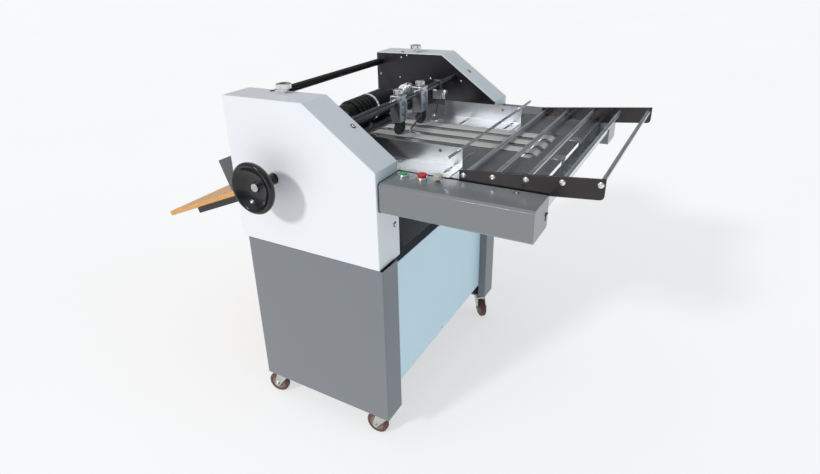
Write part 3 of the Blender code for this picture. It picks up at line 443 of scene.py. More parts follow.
@dataclass(frozen=True)
class VarnishedBoard(Finish):
    """Board with a straight grain under an amber varnish.

    Attributes:
        dark: Colour of the grain lines.
    """

    dark: Colour = (0.36, 0.17, 0.05)

    def mix(self, recipe: Recipe) -> Material:
        """Writes the board's recipe."""
        grain = recipe.noise(1.0, 6.0, recipe.stretched((95.0, 3.5, 95.0)), 1.4)
        fibre = recipe.noise(1.0, 2.0, recipe.stretched((900.0, 26.0, 900.0)))
        cloud = recipe.noise(5.0, 3.0, distortion=0.6)
        base = recipe.blend(recipe.remap(grain, 0.0, 0.6, 0.35, 0.72), self.colour, self.dark)
        colour = recipe.blend(recipe.remap(cloud, 0.0, 0.3), base, shade(self.colour, 1.25))
        rough = recipe.remap(cloud, self.roughness * 0.8, self.roughness * 1.3)
        normal = recipe.bump(fibre, 0.10, 0.0003)
        return recipe.wire(colour, rough, normal, Coat_Weight=0.12, Coat_Roughness=0.3)


COVER_WHITE = PowderCoat("cover_white_coat", "paint_white", (0.80, 0.815, 0.845), 0.34)
STAND_GREY = PowderCoat("stand_grey_coat", "paint_grey", (0.190, 0.203, 0.220), 0.36, peel=0.16)
STOP_GREY = PowderCoat("stop_grey_coat", "paint_grey", (0.30, 0.315, 0.335), 0.40)
FRAME_GREY = PowderCoat("frame_grey_coat", "paint_grey", (0.15, 0.165, 0.185), 0.45)
BEAM_GREY = PowderCoat("beam_grey_coat", "paint_grey", (0.183, 0.194, 0.203), 0.30, coat=0.40)
PANEL_BLUE = PowderCoat(
    "panel_blue_coat", "panel_blue", (0.68, 0.87, 0.96), 0.34, peel=0.05, cloud=0.015, rub=0.05)
PLATE_BLACK = PowderCoat(
    "plate_black_coat", "black_steel", (0.006, 0.005, 0.008), 0.34, peel=0.10, cloud=0.2)
TRAY_BLACK = PowderCoat(
    "tray_black_coat", "black_steel", (0.014, 0.010, 0.010), 0.22, peel=0.05, cloud=0.2, rub=0.1)
MOTOR_COAT = PowderCoat(
    "motor_dark_coat", "dark_metal", (0.05, 0.06, 0.07), 0.45, peel=0.4, grain=300.0)
TURNED_STEEL = GrainedMetal(
    "turned_steel", "steel", (0.50, 0.50, 0.51), 0.26, grain=(30.0, 1100.0, 30.0))
GUIDE_STAINLESS = GrainedMetal("guide_stainless", "stainless", (0.52, 0.535, 0.55), 0.38,
                               grain=(5.0, 900.0, 900.0), depth=0.08, stain=0.06)
TABLE_STEEL = GrainedMetal("table_dark_steel", "table_grey", (0.38, 0.385, 0.40), 0.38,
                           grain=(7.0, 800.0, 40.0), depth=0.06, stain=0.3)
BLOCK_ALUMINIUM = GrainedMetal(
    "block_aluminium", "aluminium", (0.60, 0.63, 0.65), 0.32, grain=(700.0, 700.0, 9.0), stain=0.25)
DARK_STEEL = GrainedMetal(
    "darkened_steel", "steel", (0.10, 0.10, 0.105), 0.35, grain=(400.0, 400.0, 40.0), stain=0.4)
CHROME = Plating("bright_chrome", "chrome", (0.80, 0.81, 0.82), 0.09)
ROD_CHROME = Plating("rod_chrome", "chrome", (0.84, 0.89, 0.94), 0.30)
RAIL_STEEL = GrainedMetal(
    "rail_dark_steel", "steel", (0.17, 0.19, 0.22), 0.24, grain=(500.0, 8.0, 500.0))
NICKEL = Plating("knurled_nickel", "chrome", (0.83, 0.82, 0.79), 0.20)
SCREW_ZINC = Plating("screw_zinc", "zinc", (0.80, 0.80, 0.78), 0.22)
SHEET_ZINC = Galvanising("sheet_zinc", "zinc", (0.70, 0.73, 0.75), 0.30)
FORK_ZINC = Galvanising("fork_zinc", "zinc", (0.62, 0.62, 0.60), 0.32, spangle=420.0)
SLEEVE_RUBBER = Rubber(
    "sleeve_rubber", "rubber_black", (0.006, 0.006, 0.007), 0.26, dust=(0.03, 0.03, 0.03))
PAD_RUBBER = Rubber("pad_rubber", "rubber_black", (0.015, 0.014, 0.014), 0.62)
TREAD_BROWN = Rubber(
    "tread_brown", "rubber_brown", (0.115, 0.050, 0.034), 0.50, dust=(0.20, 0.15, 0.12))
HUB_GREY = MouldedPlastic("hub_grey_plastic", "rubber_brown", (0.20, 0.17, 0.15), 0.40, coat=0.1)
WHEEL_BLACK = MouldedPlastic(
    "handwheel_black", "black_gloss", (0.004, 0.004, 0.005), 0.14, texture=0.01, coat=0.0)
NUT_BLACK = MouldedPlastic("nut_black", "black_gloss", (0.005, 0.005, 0.005), 0.50, coat=0.0)
SWITCH_BLACK = MouldedPlastic("switch_black", "black_gloss", (0.012, 0.012, 0.013), 0.30)
CAP_GREEN = MouldedPlastic("cap_green", "cap_green", (0.010, 0.170, 0.055), 0.24)
CAP_RED = MouldedPlastic("cap_red", "cap_red", (0.60, 0.035, 0.045), 0.24)
DIAL_BEIGE = MouldedPlastic(
    "dial_beige", "dial_beige", (0.68, 0.66, 0.60), 0.42, texture=0.1, coat=0.0)
DIAL_BRASS = GrainedMetal(
    "dial_brass", "dial_beige", (0.58, 0.48, 0.34), 0.28, grain=(60.0, 60.0, 900.0))
BELT_GREY = BeltCloth("belt_grey", "belt_grey", (0.42, 0.44, 0.45), 0.50)
BOARD_AMBER = VarnishedBoard("board_amber", "board_wood", (0.72, 0.37, 0.11), 0.46)


# ---- meshes
def baked(item: Object) -> Mesh:
    """The object's mesh with its modifiers applied; the object is removed."""
    bpy.context.view_layer.update()
    graph = bpy.context.evaluated_depsgraph_get()
    mesh = bpy.data.meshes.new_from_object(item.evaluated_get(graph))
    bpy.data.objects.remove(item, do_unlink=True)
    return mesh


def linked(mesh: Mesh) -> Object:
    """A new object in the scene that holds the mesh."""
    item = bpy.data.objects.new(mesh.name, mesh)
    bpy.context.scene.collection.objects.link(item)
    return item


def filleted(points: Sequence[Point], radius: float | Sequence[float], closed: bool = True,
             steps: int = 4) -> list[Point]:
    """Rounds the corners of an outline or a profile.

    Args:
        points: The corners.
        radius: One radius, or one for each corner; it shrinks where an edge is short.
        closed: Whether the last corner joins the first.
        steps: Chords per corner.

    Returns:
        The rounded points.
    """
    count = len(points)
    radii = [radius] * count if isinstance(radius, (int, float)) else list(radius)
    rounded: list[Point] = []
    for i, point in enumerate(points):
        if radii[i] <= 0 or (not closed and i in (0, count - 1)):
            rounded.append(tuple(point))
            continue
        here = Vector(point)
        back, ahead = Vector(points[i - 1]) - here, Vector(points[(i + 1) % count]) - here
        if back.length < 1e-9 or ahead.length < 1e-9:
            rounded.append(tuple(point))
            continue
        angle = back.angle(ahead)
        if angle > radians(176) or angle < radians(4):
            rounded.append(tuple(point))
            continue
        reach = min(radii[i] / tan(angle / 2), 0.46 * back.length, 0.46 * ahead.length)
        start, end = here + back.normalized() * reach, here + ahead.normalized() * reach
        for k in range(steps + 1):
            t = k / steps
            spot = start * (1 - t) ** 2 + here * 2 * t * (1 - t) + end * t ** 2
            rounded.append((spot.x, spot.y))
    return rounded


def rectangle(xs: Span, ys: Span) -> list[Point]:
    """The four corners between two spans."""
    return [(xs[0], ys[0]), (xs[1], ys[0]), (xs[1], ys[1]), (xs[0], ys[1])]


def arc(radius: float, degrees: Iterable[float], centre: Point = (0.0, 0.0)) -> list[Point]:
    """Points round a centre, one for each angle."""
    return [(centre[0] + radius * cos(radians(a)),
             centre[1] + radius * sin(radians(a))) for a in degrees]


def band(path: Sequence[Point], thickness: float, bend: float) -> list[Point]:
    """The outline of a sheet folded along an open path; the sheet lies left of the path."""
    line = [Vector(p) for p in filleted(path, bend, closed=False, steps=5)]
    inner: list[Point] = []
    for i, point in enumerate(line):
        before = (point - line[i - 1]).normalized() if i else None
        after = (line[i + 1] - point).normalized() if i < len(line) - 1 else None
        along = (before or after) + (after or before)
        along.normalize()
        step = thickness / max(0.5, along.dot(before or after))
        inner.append((point.x - along.y * step, point.y + along.x * step))
    return [tuple(p) for p in line] + inner[::-1]


class Shape:
    """A mesh in the making, in the machine's frame."""

    def __init__(self, work: bmesh.types.BMesh | None = None) -> None:
        """Takes over a bmesh, or starts empty.

        Args:
            work: The bmesh, which is freed.
        """
        self.mesh = bpy.data.meshes.new("shape")
        if work is not None:
            bmesh.ops.remove_doubles(work, verts=work.verts, dist=1e-7)
            bmesh.ops.recalc_face_normals(work, faces=work.faces)
            work.to_mesh(self.mesh)
            work.free()

    @classmethod
    def prism(cls, outline: Sequence[Point], span: Span, axis: Axis = Axis.Y) -> "Shape":
        """A straight solid.

        Args:
            outline: Coordinates across the axis, in x, y, z order.
            span: Where it starts and ends along the axis.
            axis: The axis.

        Returns:
            The shape.
        """
        work = bmesh.new()
        ends = [[work.verts.new(axis.point(a, b, along)) for a, b in outline] for along in span]
        for ring in ends:
            work.faces.new(ring)
        for i, first in enumerate(ends[0]):
            j = (i + 1) % len(outline)
            work.faces.new((first, ends[0][j], ends[1][j], ends[1][i]))
        return cls(work)

    @classmethod
    def block(cls, xs: Span, ys: Span, zs: Span) -> "Shape":
        """A box to be cut or softened."""
        return cls.prism(rectangle(xs, ys), zs, Axis.Z)

    @classmethod
    def turned(cls, profile: Sequence[Point], axis: Axis, centre: Point, facets: int = 64,
               round_off: float = 0.0006, ring: bool = False) -> "Shape":
        """A turned solid.

        Args:
            profile: (radius, along) pairs; an open profile starts and ends at radius 0.
            axis: The axis it turns about.
            centre: The axis' two coordinates across itself.
            facets: Facets round it.
            round_off: Fillet of the profile's corners.
            ring: Whether the profile closes on itself round a bore.

        Returns:
            The shape.
        """
        work = bmesh.new()
        rings = []
        for radius, along in filleted(profile, round_off, closed=ring, steps=3):
            if radius < 1e-7:
                rings.append([work.verts.new(axis.point(*centre, along))])
                continue
            turns = [2 * pi * (k + 0.5) / facets for k in range(facets)]
            rings.append([work.verts.new(axis.point(centre[0] + radius * cos(t),
                                                    centre[1] + radius * sin(t), along))
                          for t in turns])
        pairs = list(zip(rings, rings[1:])) + ([(rings[-1], rings[0])] if ring else [])
        for low, high in pairs:
            for k in range(facets):
                n = (k + 1) % facets
                if len(low) == 1 and len(high) == 1:
                    break
                if len(low) == 1:
                    work.faces.new((low[0], high[k], high[n]))
                elif len(high) == 1:
                    work.faces.new((low[k], low[n], high[0]))
                else:
                    work.faces.new((low[k], low[n], high[n], high[k]))
        return cls(work)

    @classmethod
    def bar(cls, radius: float, axis: Axis, centre: Point, span: Span, chamfer: float = 0.0008,
            facets: int = 40) -> "Shape":
        """A round bar with broken ends."""
        low, high = span
        return cls.turned([
            (0, low), (radius - chamfer, low), (radius, low + chamfer), (radius, high - chamfer),
            (radius - chamfer, high), (0, high)], axis, centre, facets, chamfer * 0.4)

    @classmethod
    def wire(cls, path: Sequence[Sequence[float]], radius: float, facets: int = 20) -> "Shape":
        """A round wire along a path of points, closed at both ends."""
        spots = [Vector(p) for p in path]
        work = bmesh.new()
        rings = []
        side = None
        for i, spot in enumerate(spots):
            ahead = spots[min(i + 1, len(spots) - 1)] - spots[max(i - 1, 0)]
            ahead.normalize()
            base = side if side is not None else Vector((0.31, 0.17, 0.94))
            side = (base - ahead * base.dot(ahead)).normalized()
            up = ahead.cross(side)
            rings.append([work.verts.new(spot + radius * (cos(t) * side + sin(t) * up))
                          for t in (2 * pi * k / facets for k in range(facets))])
        for low, high in zip(rings, rings[1:]):
            for k in range(facets):
                n = (k + 1) % facets
                work.faces.new((low[k], low[n], high[n], high[k]))
        work.faces.new(rings[0])
        work.faces.new(rings[-1])
        return cls(work)

    @classmethod
    def of_node(cls, bench: "Bench", node: str) -> "Shape":
        """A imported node's mesh with its loose triangles joined into flat faces."""
        work = bmesh.new()
        work.from_mesh(bench.frame["nodes"][node].data)
        bmesh.ops.remove_doubles(work, verts=work.verts, dist=2e-6)
        bmesh.ops.dissolve_limit(
            work, angle_limit=radians(0.6), verts=work.verts, edges=work.edges)
        bmesh.ops.translate(work, verts=work.verts, vec=-bench.offset)
        return cls(work)

    def changed(self, modifiers: Iterable[tuple[str, dict[str, Any]]]) -> "Shape":
        """The shape after a row of modifiers, each a type and its settings."""
        item = linked(self.mesh)
        for kind, settings in modifiers:
            step = item.modifiers.new(kind.lower(), kind)
            for key, value in settings.items():
                setattr(step, key, value)
        self.mesh = baked(item)
        return self

    def _with(self, operation: str, others: Sequence["Shape"]) -> "Shape":
        """The boolean of this shape with others, one after the other."""
        for other in others:
            tool = linked(other.mesh)
            self.changed([("BOOLEAN", {"operation": operation, "solver": "EXACT",
                                       "object": tool})])
            bpy.data.objects.remove(tool, do_unlink=True)
        return self

    def cut(self, *others: "Shape") -> "Shape":
        """Takes the others away."""
        return self._with("DIFFERENCE", others)

    def kept(self, *others: "Shape") -> "Shape":
        """Keeps what it shares with the others."""
        return self._with("INTERSECT", others)

    def beside(self, *others: "Shape") -> "Shape":
        """Puts the others' faces in the same mesh, without cutting."""
        work = bmesh.new()
        for mesh in (self.mesh, *(other.mesh for other in others)):
            work.from_mesh(mesh)
        self.mesh = bpy.data.meshes.new("shape")
        work.to_mesh(self.mesh)
        work.free()
        return self

    def softened(self, width: float, segments: int = 3, angle: float = 32.0) -> "Shape":
        """Rounds every edge sharper than the angle."""
        return self.changed([("BEVEL", {
            "width": width, "segments": segments, "limit_method": "ANGLE",
            "angle_limit": radians(angle), "use_clamp_overlap": True,
            "miter_outer": "MITER_ARC",
        })])

    def moved(self, matrix: Matrix) -> "Shape":
        """Moves the shape."""
        self.mesh.transform(matrix)
        return self

    def laid(self, axis: Axis, centre: Point, start: float) -> "Shape":
        """Turns a shape made about z onto an axis, its foot at start along that axis."""
        turn = {Axis.Z: Matrix(), Axis.Y: Matrix.Rotation(radians(-90), 4, "X"),
                Axis.X: Matrix.Rotation(radians(90), 4, "Y")}[axis]
        return self.moved(Matrix.Translation(axis.point(*centre, start)) @ turn)

    def shifted(self, *step: float) -> "Shape":
        """Moves the shape by x, y and z."""
        return self.moved(Matrix.Translation(step))


@dataclass
class Bench:
    """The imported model, and where the machine stands in it.

    Attributes:
        offset: From the machine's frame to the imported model's.
    """

    frame: dict[str, Any]
    offset: Vector = field(default_factory=Vector)

    def __post_init__(self) -> None:
        """Finds the offset from the near cover's lowest corner."""
        self.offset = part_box("side_cover_near")[0] - Vector((-0.502, 0.0, 0.630))


# ---- geometry-node trees
class Grower:
    """A geometry-node tree with named inputs that turns a carrier mesh into repeated parts."""

    def __init__(self, name: str) -> None:
        """Starts the tree with its geometry sockets.

        Args:
            name: The tree's name.
        """
        self.tree = bpy.data.node_groups.new(name, "GeometryNodeTree")
        self.face = self.tree.interface
        self.face.new_socket("Geometry", in_out="INPUT", socket_type="NodeSocketGeometry")
        self.face.new_socket("Geometry", in_out="OUTPUT", socket_type="NodeSocketGeometry")
        self.group = self.tree.nodes.new("NodeGroupInput")

    def take(self, name: str, kind: str, default: Any = None) -> Socket:
        """Adds a named input and returns its socket inside the tree."""
        socket = self.face.new_socket(name, in_out="INPUT", socket_type="NodeSocket" + kind)
        if default is not None:
            socket.default_value = default
        return self.group.outputs[name]

    def node(self, kind: str, inputs: dict[Any, Any], **settings: Any) -> Node:
        """Adds a node to the tree."""
        return plugged(self.tree, kind, inputs, settings)

    def close(self, geometry: Socket) -> "Grower":
        """Ends the tree: realises the instances and sets their material."""
        paint = self.take("Material", "Material")
        real = self.node("GeometryNodeRealizeInstances", {0: geometry})
        set_paint = self.node("GeometryNodeSetMaterial", {
            "Geometry": real.outputs[0], "Material": paint,
        })
        self.node("NodeGroupOutput", {0: set_paint.outputs[0]})
        return self

    def scatter(self, points: Socket, **turned: Any) -> "Grower":
        """Ends the tree with the template set on every point."""
        template = self.take("Template", "Object")
        source = self.node("GeometryNodeObjectInfo", {"Object": template}).outputs["Geometry"]
        made = self.node("GeometryNodeInstanceOnPoints", {
            "Points": points, "Instance": source, **turned,
        })
        return self.close(made.outputs[0])

    def grow(self, finish: Finish, template: Shape | None = None,
             carrier: Mesh | None = None, **values: Any) -> Shape:
        """Runs the tree.

        Args:
            finish: The parts' finish.
            template: The part to repeat, where the tree takes one.
            carrier: The mesh that says where the parts go, where the tree takes one.
            values: Values of the named inputs, with _ for a space.

        Returns:
            The parts as one shape.
        """
        item = linked(bpy.data.meshes.new("none") if carrier is None else carrier)
        step = item.modifiers.new(self.tree.name, "NODES")
        step.node_group = self.tree
        given = {key.replace("_", " "): value for key, value in values.items()}
        given["Material"] = finish.material()
        pattern = None
        if template is not None:
            pattern = linked(template.mesh)
            given["Template"] = pattern
        for socket in self.face.items_tree:
            if socket.item_type == "SOCKET" and socket.in_out == "INPUT" and socket.name in given:
                step[socket.identifier] = given[socket.name]
        item.update_tag()
        made = Shape()
        made.mesh = baked(item)
        if pattern is not None:
            bpy.data.objects.remove(pattern, do_unlink=True)
        return made


def spots_mesh(spots: Spots) -> Mesh:
    """A carrier of points, each with the way it faces."""
    mesh = bpy.data.meshes.new("spots")
    mesh.from_pydata([spot for spot, _ in spots], [], [])
    facing = mesh.attributes.new("facing", "FLOAT_VECTOR", "POINT")
    for i, (_, way) in enumerate(spots):
        facing.data[i].vector = Vector(way).normalized()
    return mesh


def loop_mesh(points: Sequence[Point], y: float) -> Mesh:
    """A carrier of one closed loop in a plane of constant y, begun amid its longest edge."""
    mesh = bpy.data.meshes.new("loop")
    count = len(points)
    first = max(range(count), key=lambda i: dist(points[i], points[(i + 1) % count]))
    (ax, az), (bx, bz) = points[first], points[(first + 1) % count]
    points = [((ax + bx) / 2, (az + bz) / 2)] + [points[(first + 1 + i) % count]
                                                 for i in range(count)]
    count += 1
    mesh.from_pydata([(x, y, z) for x, z in points],
                     [(i, (i + 1) % count) for i in range(count)], [])
    return mesh


def screw_field() -> Grower:
    """Sets the template on every point, along its facing, each at its own turn."""
    grower = Grower("screw_field")
    seed = grower.take("Seed", "Int", 7)
    facing = grower.node("GeometryNodeInputNamedAttribute", {"Name": "facing"},
                         data_type="FLOAT_VECTOR").outputs[0]
    spin = grower.node("FunctionNodeRandomValue", {"Seed": seed}, data_type="FLOAT")
    spin.inputs[2].default_value, spin.inputs[3].default_value = 0.0, tau
    own = grower.node("ShaderNodeCombineXYZ", {"Z": spin.outputs[1]}).outputs[0]
    aim = grower.node("FunctionNodeAlignRotationToVector", {"Vector": facing}, axis="Z")
    turn = grower.node("FunctionNodeEulerToRotation", {0: own})
    both = grower.node("FunctionNodeRotateRotation", {
        "Rotation": aim.outputs[0], "Rotate By": turn.outputs[0],
    }, rotation_space="LOCAL")
    return grower.scatter(grower.group.outputs["Geometry"], Rotation=both.outputs[0])


def tooth_ring() -> Grower:
    """Sets the template round a circle about the z axis, facing outwards."""
    grower = Grower("tooth_ring")
    count = grower.take("Count", "Int", 24)
    radius = grower.take("Radius", "Float", 0.01)
    phase = grower.take("Phase", "Float", 0.0)
    index = grower.node("GeometryNodeInputIndex", {}).outputs[0]
    share = grower.node("ShaderNodeMath", {0: index, 1: count}, operation="DIVIDE").outputs[0]
    angle = grower.node("ShaderNodeMath", {0: share, 1: tau, 2: phase},
                        operation="MULTIPLY_ADD").outputs[0]
    parts = {}
    for key, operation in (("X", "COSINE"), ("Y", "SINE")):
        wave = grower.node("ShaderNodeMath", {0: angle}, operation=operation).outputs[0]
        parts[key] = grower.node("ShaderNodeMath", {0: wave, 1: radius},
                                 operation="MULTIPLY").outputs[0]
    place = grower.node("ShaderNodeCombineXYZ", parts).outputs[0]
    points = grower.node("GeometryNodePoints", {"Count": count, "Position": place})
    euler = grower.node("ShaderNodeCombineXYZ", {"Z": angle}).outputs[0]
    turn = grower.node("FunctionNodeEulerToRotation", {0: euler}).outputs[0]
    return grower.scatter(points.outputs[0], Rotation=turn)


def even_row() -> Grower:
    """Sets the template in a straight row."""
    grower = Grower("even_row")
    count = grower.take("Count", "Int", 3)
    offset = grower.take("Offset", "Vector")
    line = grower.node("GeometryNodeMeshLine", {"Count": count, "Offset": offset})
    return grower.scatter(line.outputs[0])


def swept_band() -> Grower:
    """Sweeps a flat section with round edges along the carrier's loop."""
    grower = Grower("swept_band")
    width = grower.take("Width", "Float", 0.04)
    thickness = grower.take("Thickness", "Float", 0.002)
    bend = grower.take("Edge", "Float", 0.0006)
    section = grower.node("GeometryNodeCurvePrimitiveQuadrilateral", {
        "Width": width, "Height": thickness,
    })
    smooth = grower.node("GeometryNodeFilletCurve", {
        "Curve": section.outputs[0], "Radius": bend, "Count": 3,
    }, mode="POLY")
    track = grower.node("GeometryNodeMeshToCurve", {0: grower.group.outputs["Geometry"]})
    made = grower.node("GeometryNodeCurveToMesh", {
        "Curve": track.outputs[0], "Profile Curve": smooth.outputs[0],
    })
    return grower.close(made.outputs[0])


@dataclass(frozen=True)
class Growers:
    """The four trees, built once."""

    screws: Grower
    teeth: Grower
    row: Grower
    bands: Grower

    @classmethod
    def built(cls) -> "Growers":
        """Builds the trees."""
        return cls(screw_field(), tooth_ring(), even_row(), swept_band())


# ---- shared parts
def inset(outline: Sequence[Point], distance: float, keep: Sequence[int] = ()) -> list[Point]:
    """Moves a convex outline's edges in, except those whose index is in keep."""
    count = len(outline)
    area = sum(outline[i][0] * outline[(i + 1) % count][1]
               - outline[(i + 1) % count][0] * outline[i][1] for i in range(count))
    turn = 1.0 if area > 0 else -1.0
    lines = []
    for i in range(count):
        start = Vector(outline[i])
        along = (Vector(outline[(i + 1) % count]) - start).normalized()
        inward = Vector((-along.y, along.x)) * turn
        lines.append((start + inward * (0 if i in keep else distance), along))
    moved = []
    for i in range(count):
        (p, d), (q, e) = lines[i - 1], lines[i]
        step = ((q - p).x * e.y - (q - p).y * e.x) / (d.x * e.y - d.y * e.x)
        moved.append(tuple(p + d * step))
    return moved


def taut_loop(circles: Sequence[tuple[float, float, float]], extra: float,
              facets: int = 72) -> list[Point]:
    """The taut closed line round circles of (x, z, radius), each made larger by extra."""
    points = sorted((x + (r + extra) * cos(2 * pi * k / facets),
                     z + (r + extra) * sin(2 * pi * k / facets))
                    for x, z, r in circles for k in range(facets))

    def half(ordered: Sequence[Point]) -> list[Point]:
        chain: list[Point] = []
        for p in ordered:
            while len(chain) > 1:
                (ax, az), (bx, bz) = chain[-2], chain[-1]
                if (bx - ax) * (p[1] - az) - (bz - az) * (p[0] - ax) > 1e-12:
                    break
                chain.pop()
            chain.append(p)
        return chain[:-1]

    return half(points) + half(points[::-1])


def slotted_hole(xs: Span, ys: Span, zs: Span) -> Shape:
    """A cutter with round ends."""
    radius = min(xs[1] - xs[0], ys[1] - ys[0]) / 2
    return Shape.prism(filleted(rectangle(xs, ys), radius * 0.98, steps=8), zs, Axis.Z)


def dome_screw(radius: float, height: float) -> Shape:
    """A domed screw head with a six-sided socket, its seat at the origin and facing +z."""
    dome = [(radius * c, height * (0.25 + 0.75 * s)) for c, s in arc(1.0, range(0, 90, 12))]
    head = Shape.turned([
        (0, -0.0006), (radius, -0.0006), *dome, (0, height)], Axis.Z, (0, 0), 28, 0.0)
    socket = arc(0.42 * radius, HEXAGON)
    return head.cut(Shape.prism(socket, (height * 0.45, height + 0.01), Axis.Z))


def dark_washer(radius: float) -> Shape:
    """A flat washer that shows as a dark ring under a screw head."""
    return Shape.turned([
        (0, -0.0004), (radius, -0.0004), (radius, 0.0006), (0, 0.0006)], Axis.Z, (0, 0), 36, 0.0003)


def cross_screw(radius: float, height: float) -> Shape:
    """A pan head with a cross recess, its seat at the origin and facing +z."""
    head = Shape.turned([(0, -0.0004), (radius, -0.0004), (radius, height * 0.6),
                         (radius * 0.72, height), (0, height)], Axis.Z, (0, 0), 24, radius * 0.2)
    arm, reach = radius * 0.13, radius * 0.55
    return head.cut(
        Shape.block((-arm, arm), (-reach, reach), (height * 0.45, height + 0.01)),
        Shape.block((-reach, reach), (-arm, arm), (height * 0.5, height + 0.01)))


def pulley(seat: float) -> list[Point]:
    """The profile of a flanged belt pulley, its belt running at the seat's radius."""
    (low, high), rim = PULLEY_Y, seat + 0.003
    return [(rim, low), (rim, low + 0.0015), (seat, low + 0.003), (seat, high - 0.003),
            (rim, high - 0.0015), (rim, high)]


def mirrored(shape: Shape, width: float = MACHINE_WIDTH) -> Shape:
    """The shape's mirror image across the middle of a width, faces outward again."""
    shape.moved(Matrix.Translation((0, width, 0)) @ Matrix.Scale(-1, 4, (0, 1, 0)))
    shape.mesh.flip_normals()
    return shape


@dataclass
class Assembly:
    """A sub-assembly of the machine.

    Attributes:
        bench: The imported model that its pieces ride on.
        growers: The trees for what repeats.
    """

    bench: Bench
    growers: Growers

    def build(self) -> None:
        """Makes and delivers every piece."""
        raise NotImplementedError

    def deliver(self, shape: Shape, name: str, finish: Finish, replaces: str = "",
                body: str = "machine", crease: float = 32.0, weighted: bool = True) -> None:
        """Makes a shape a piece of the model.

        Args:
            shape: The finished shape.
            name: The piece's name.
            finish: Its finish.
            replaces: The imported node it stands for, if any.
            body: The body it rides on.
            crease: Edges sharper than this, in degrees, stay sharp.
            weighted: Whether large faces steer the normals beside them.
        """
        mesh = shape.mesh
        mesh.materials.clear()
        mesh.materials.append(finish.material())
        mesh.polygons.foreach_set("material_index", [0] * len(mesh.polygons))
        mesh.shade_smooth()
        mesh.set_sharp_from_angle(angle=radians(crease))
        if weighted:
            shape.changed([("WEIGHTED_NORMAL", {"keep_sharp": True, "weight": 60})])
        mesh = shape.mesh
        mesh.transform(Matrix.Translation(self.bench.offset))
        mesh.name = name
        item = linked(mesh)
        item.name = name
        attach(item, body)
        if replaces:
            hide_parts(replaces)
        log.info("%s: %d faces on %s", name, len(mesh.polygons), body)

    def screws(self, name: str, template: Shape, finish: Finish,
               spots: Spots, seed: int = 7,
               body: str = "machine") -> None:
        """Delivers one mesh of screws.

        Args:
            name: The piece's name.
            template: The head.
            finish: Its finish.
            spots: Where each sits and which way it faces.
            seed: Seed of the turns of the heads.
            body: The body it rides on.
        """
        made = self.growers.screws.grow(finish, template, spots_mesh(spots), Seed=seed)
        self.deliver(made, name, finish, body=body)

    def knurled(self, radius: float, span: Span, axis: Axis, centre: Point, finish: Finish,
                count: int, depth: float = 0.0007) -> Shape:
        """A ring of straight knurls.

        Args:
            radius: Radius over the knurls.
            span: Where they start and end along the axis.
            axis: The axis.
            centre: The axis' two coordinates across itself.
            finish: The knurls' finish.
            count: How many there are.
            depth: How far they stand up.

        Returns:
            The shape.
        """
        half = pi * (radius - depth) / count * 0.98
        low, high = span
        tooth = Shape.prism([
            (-depth * 1.5, -half), (0.0, -half * 0.9), (depth, 0.0), (0.0, half * 0.9),
            (-depth * 1.5, half)], (0.0, high - low), Axis.Z)
        return self.growers.teeth.grow(
            finish, tooth, Count=count, Radius=radius - depth).laid(axis, centre, low)


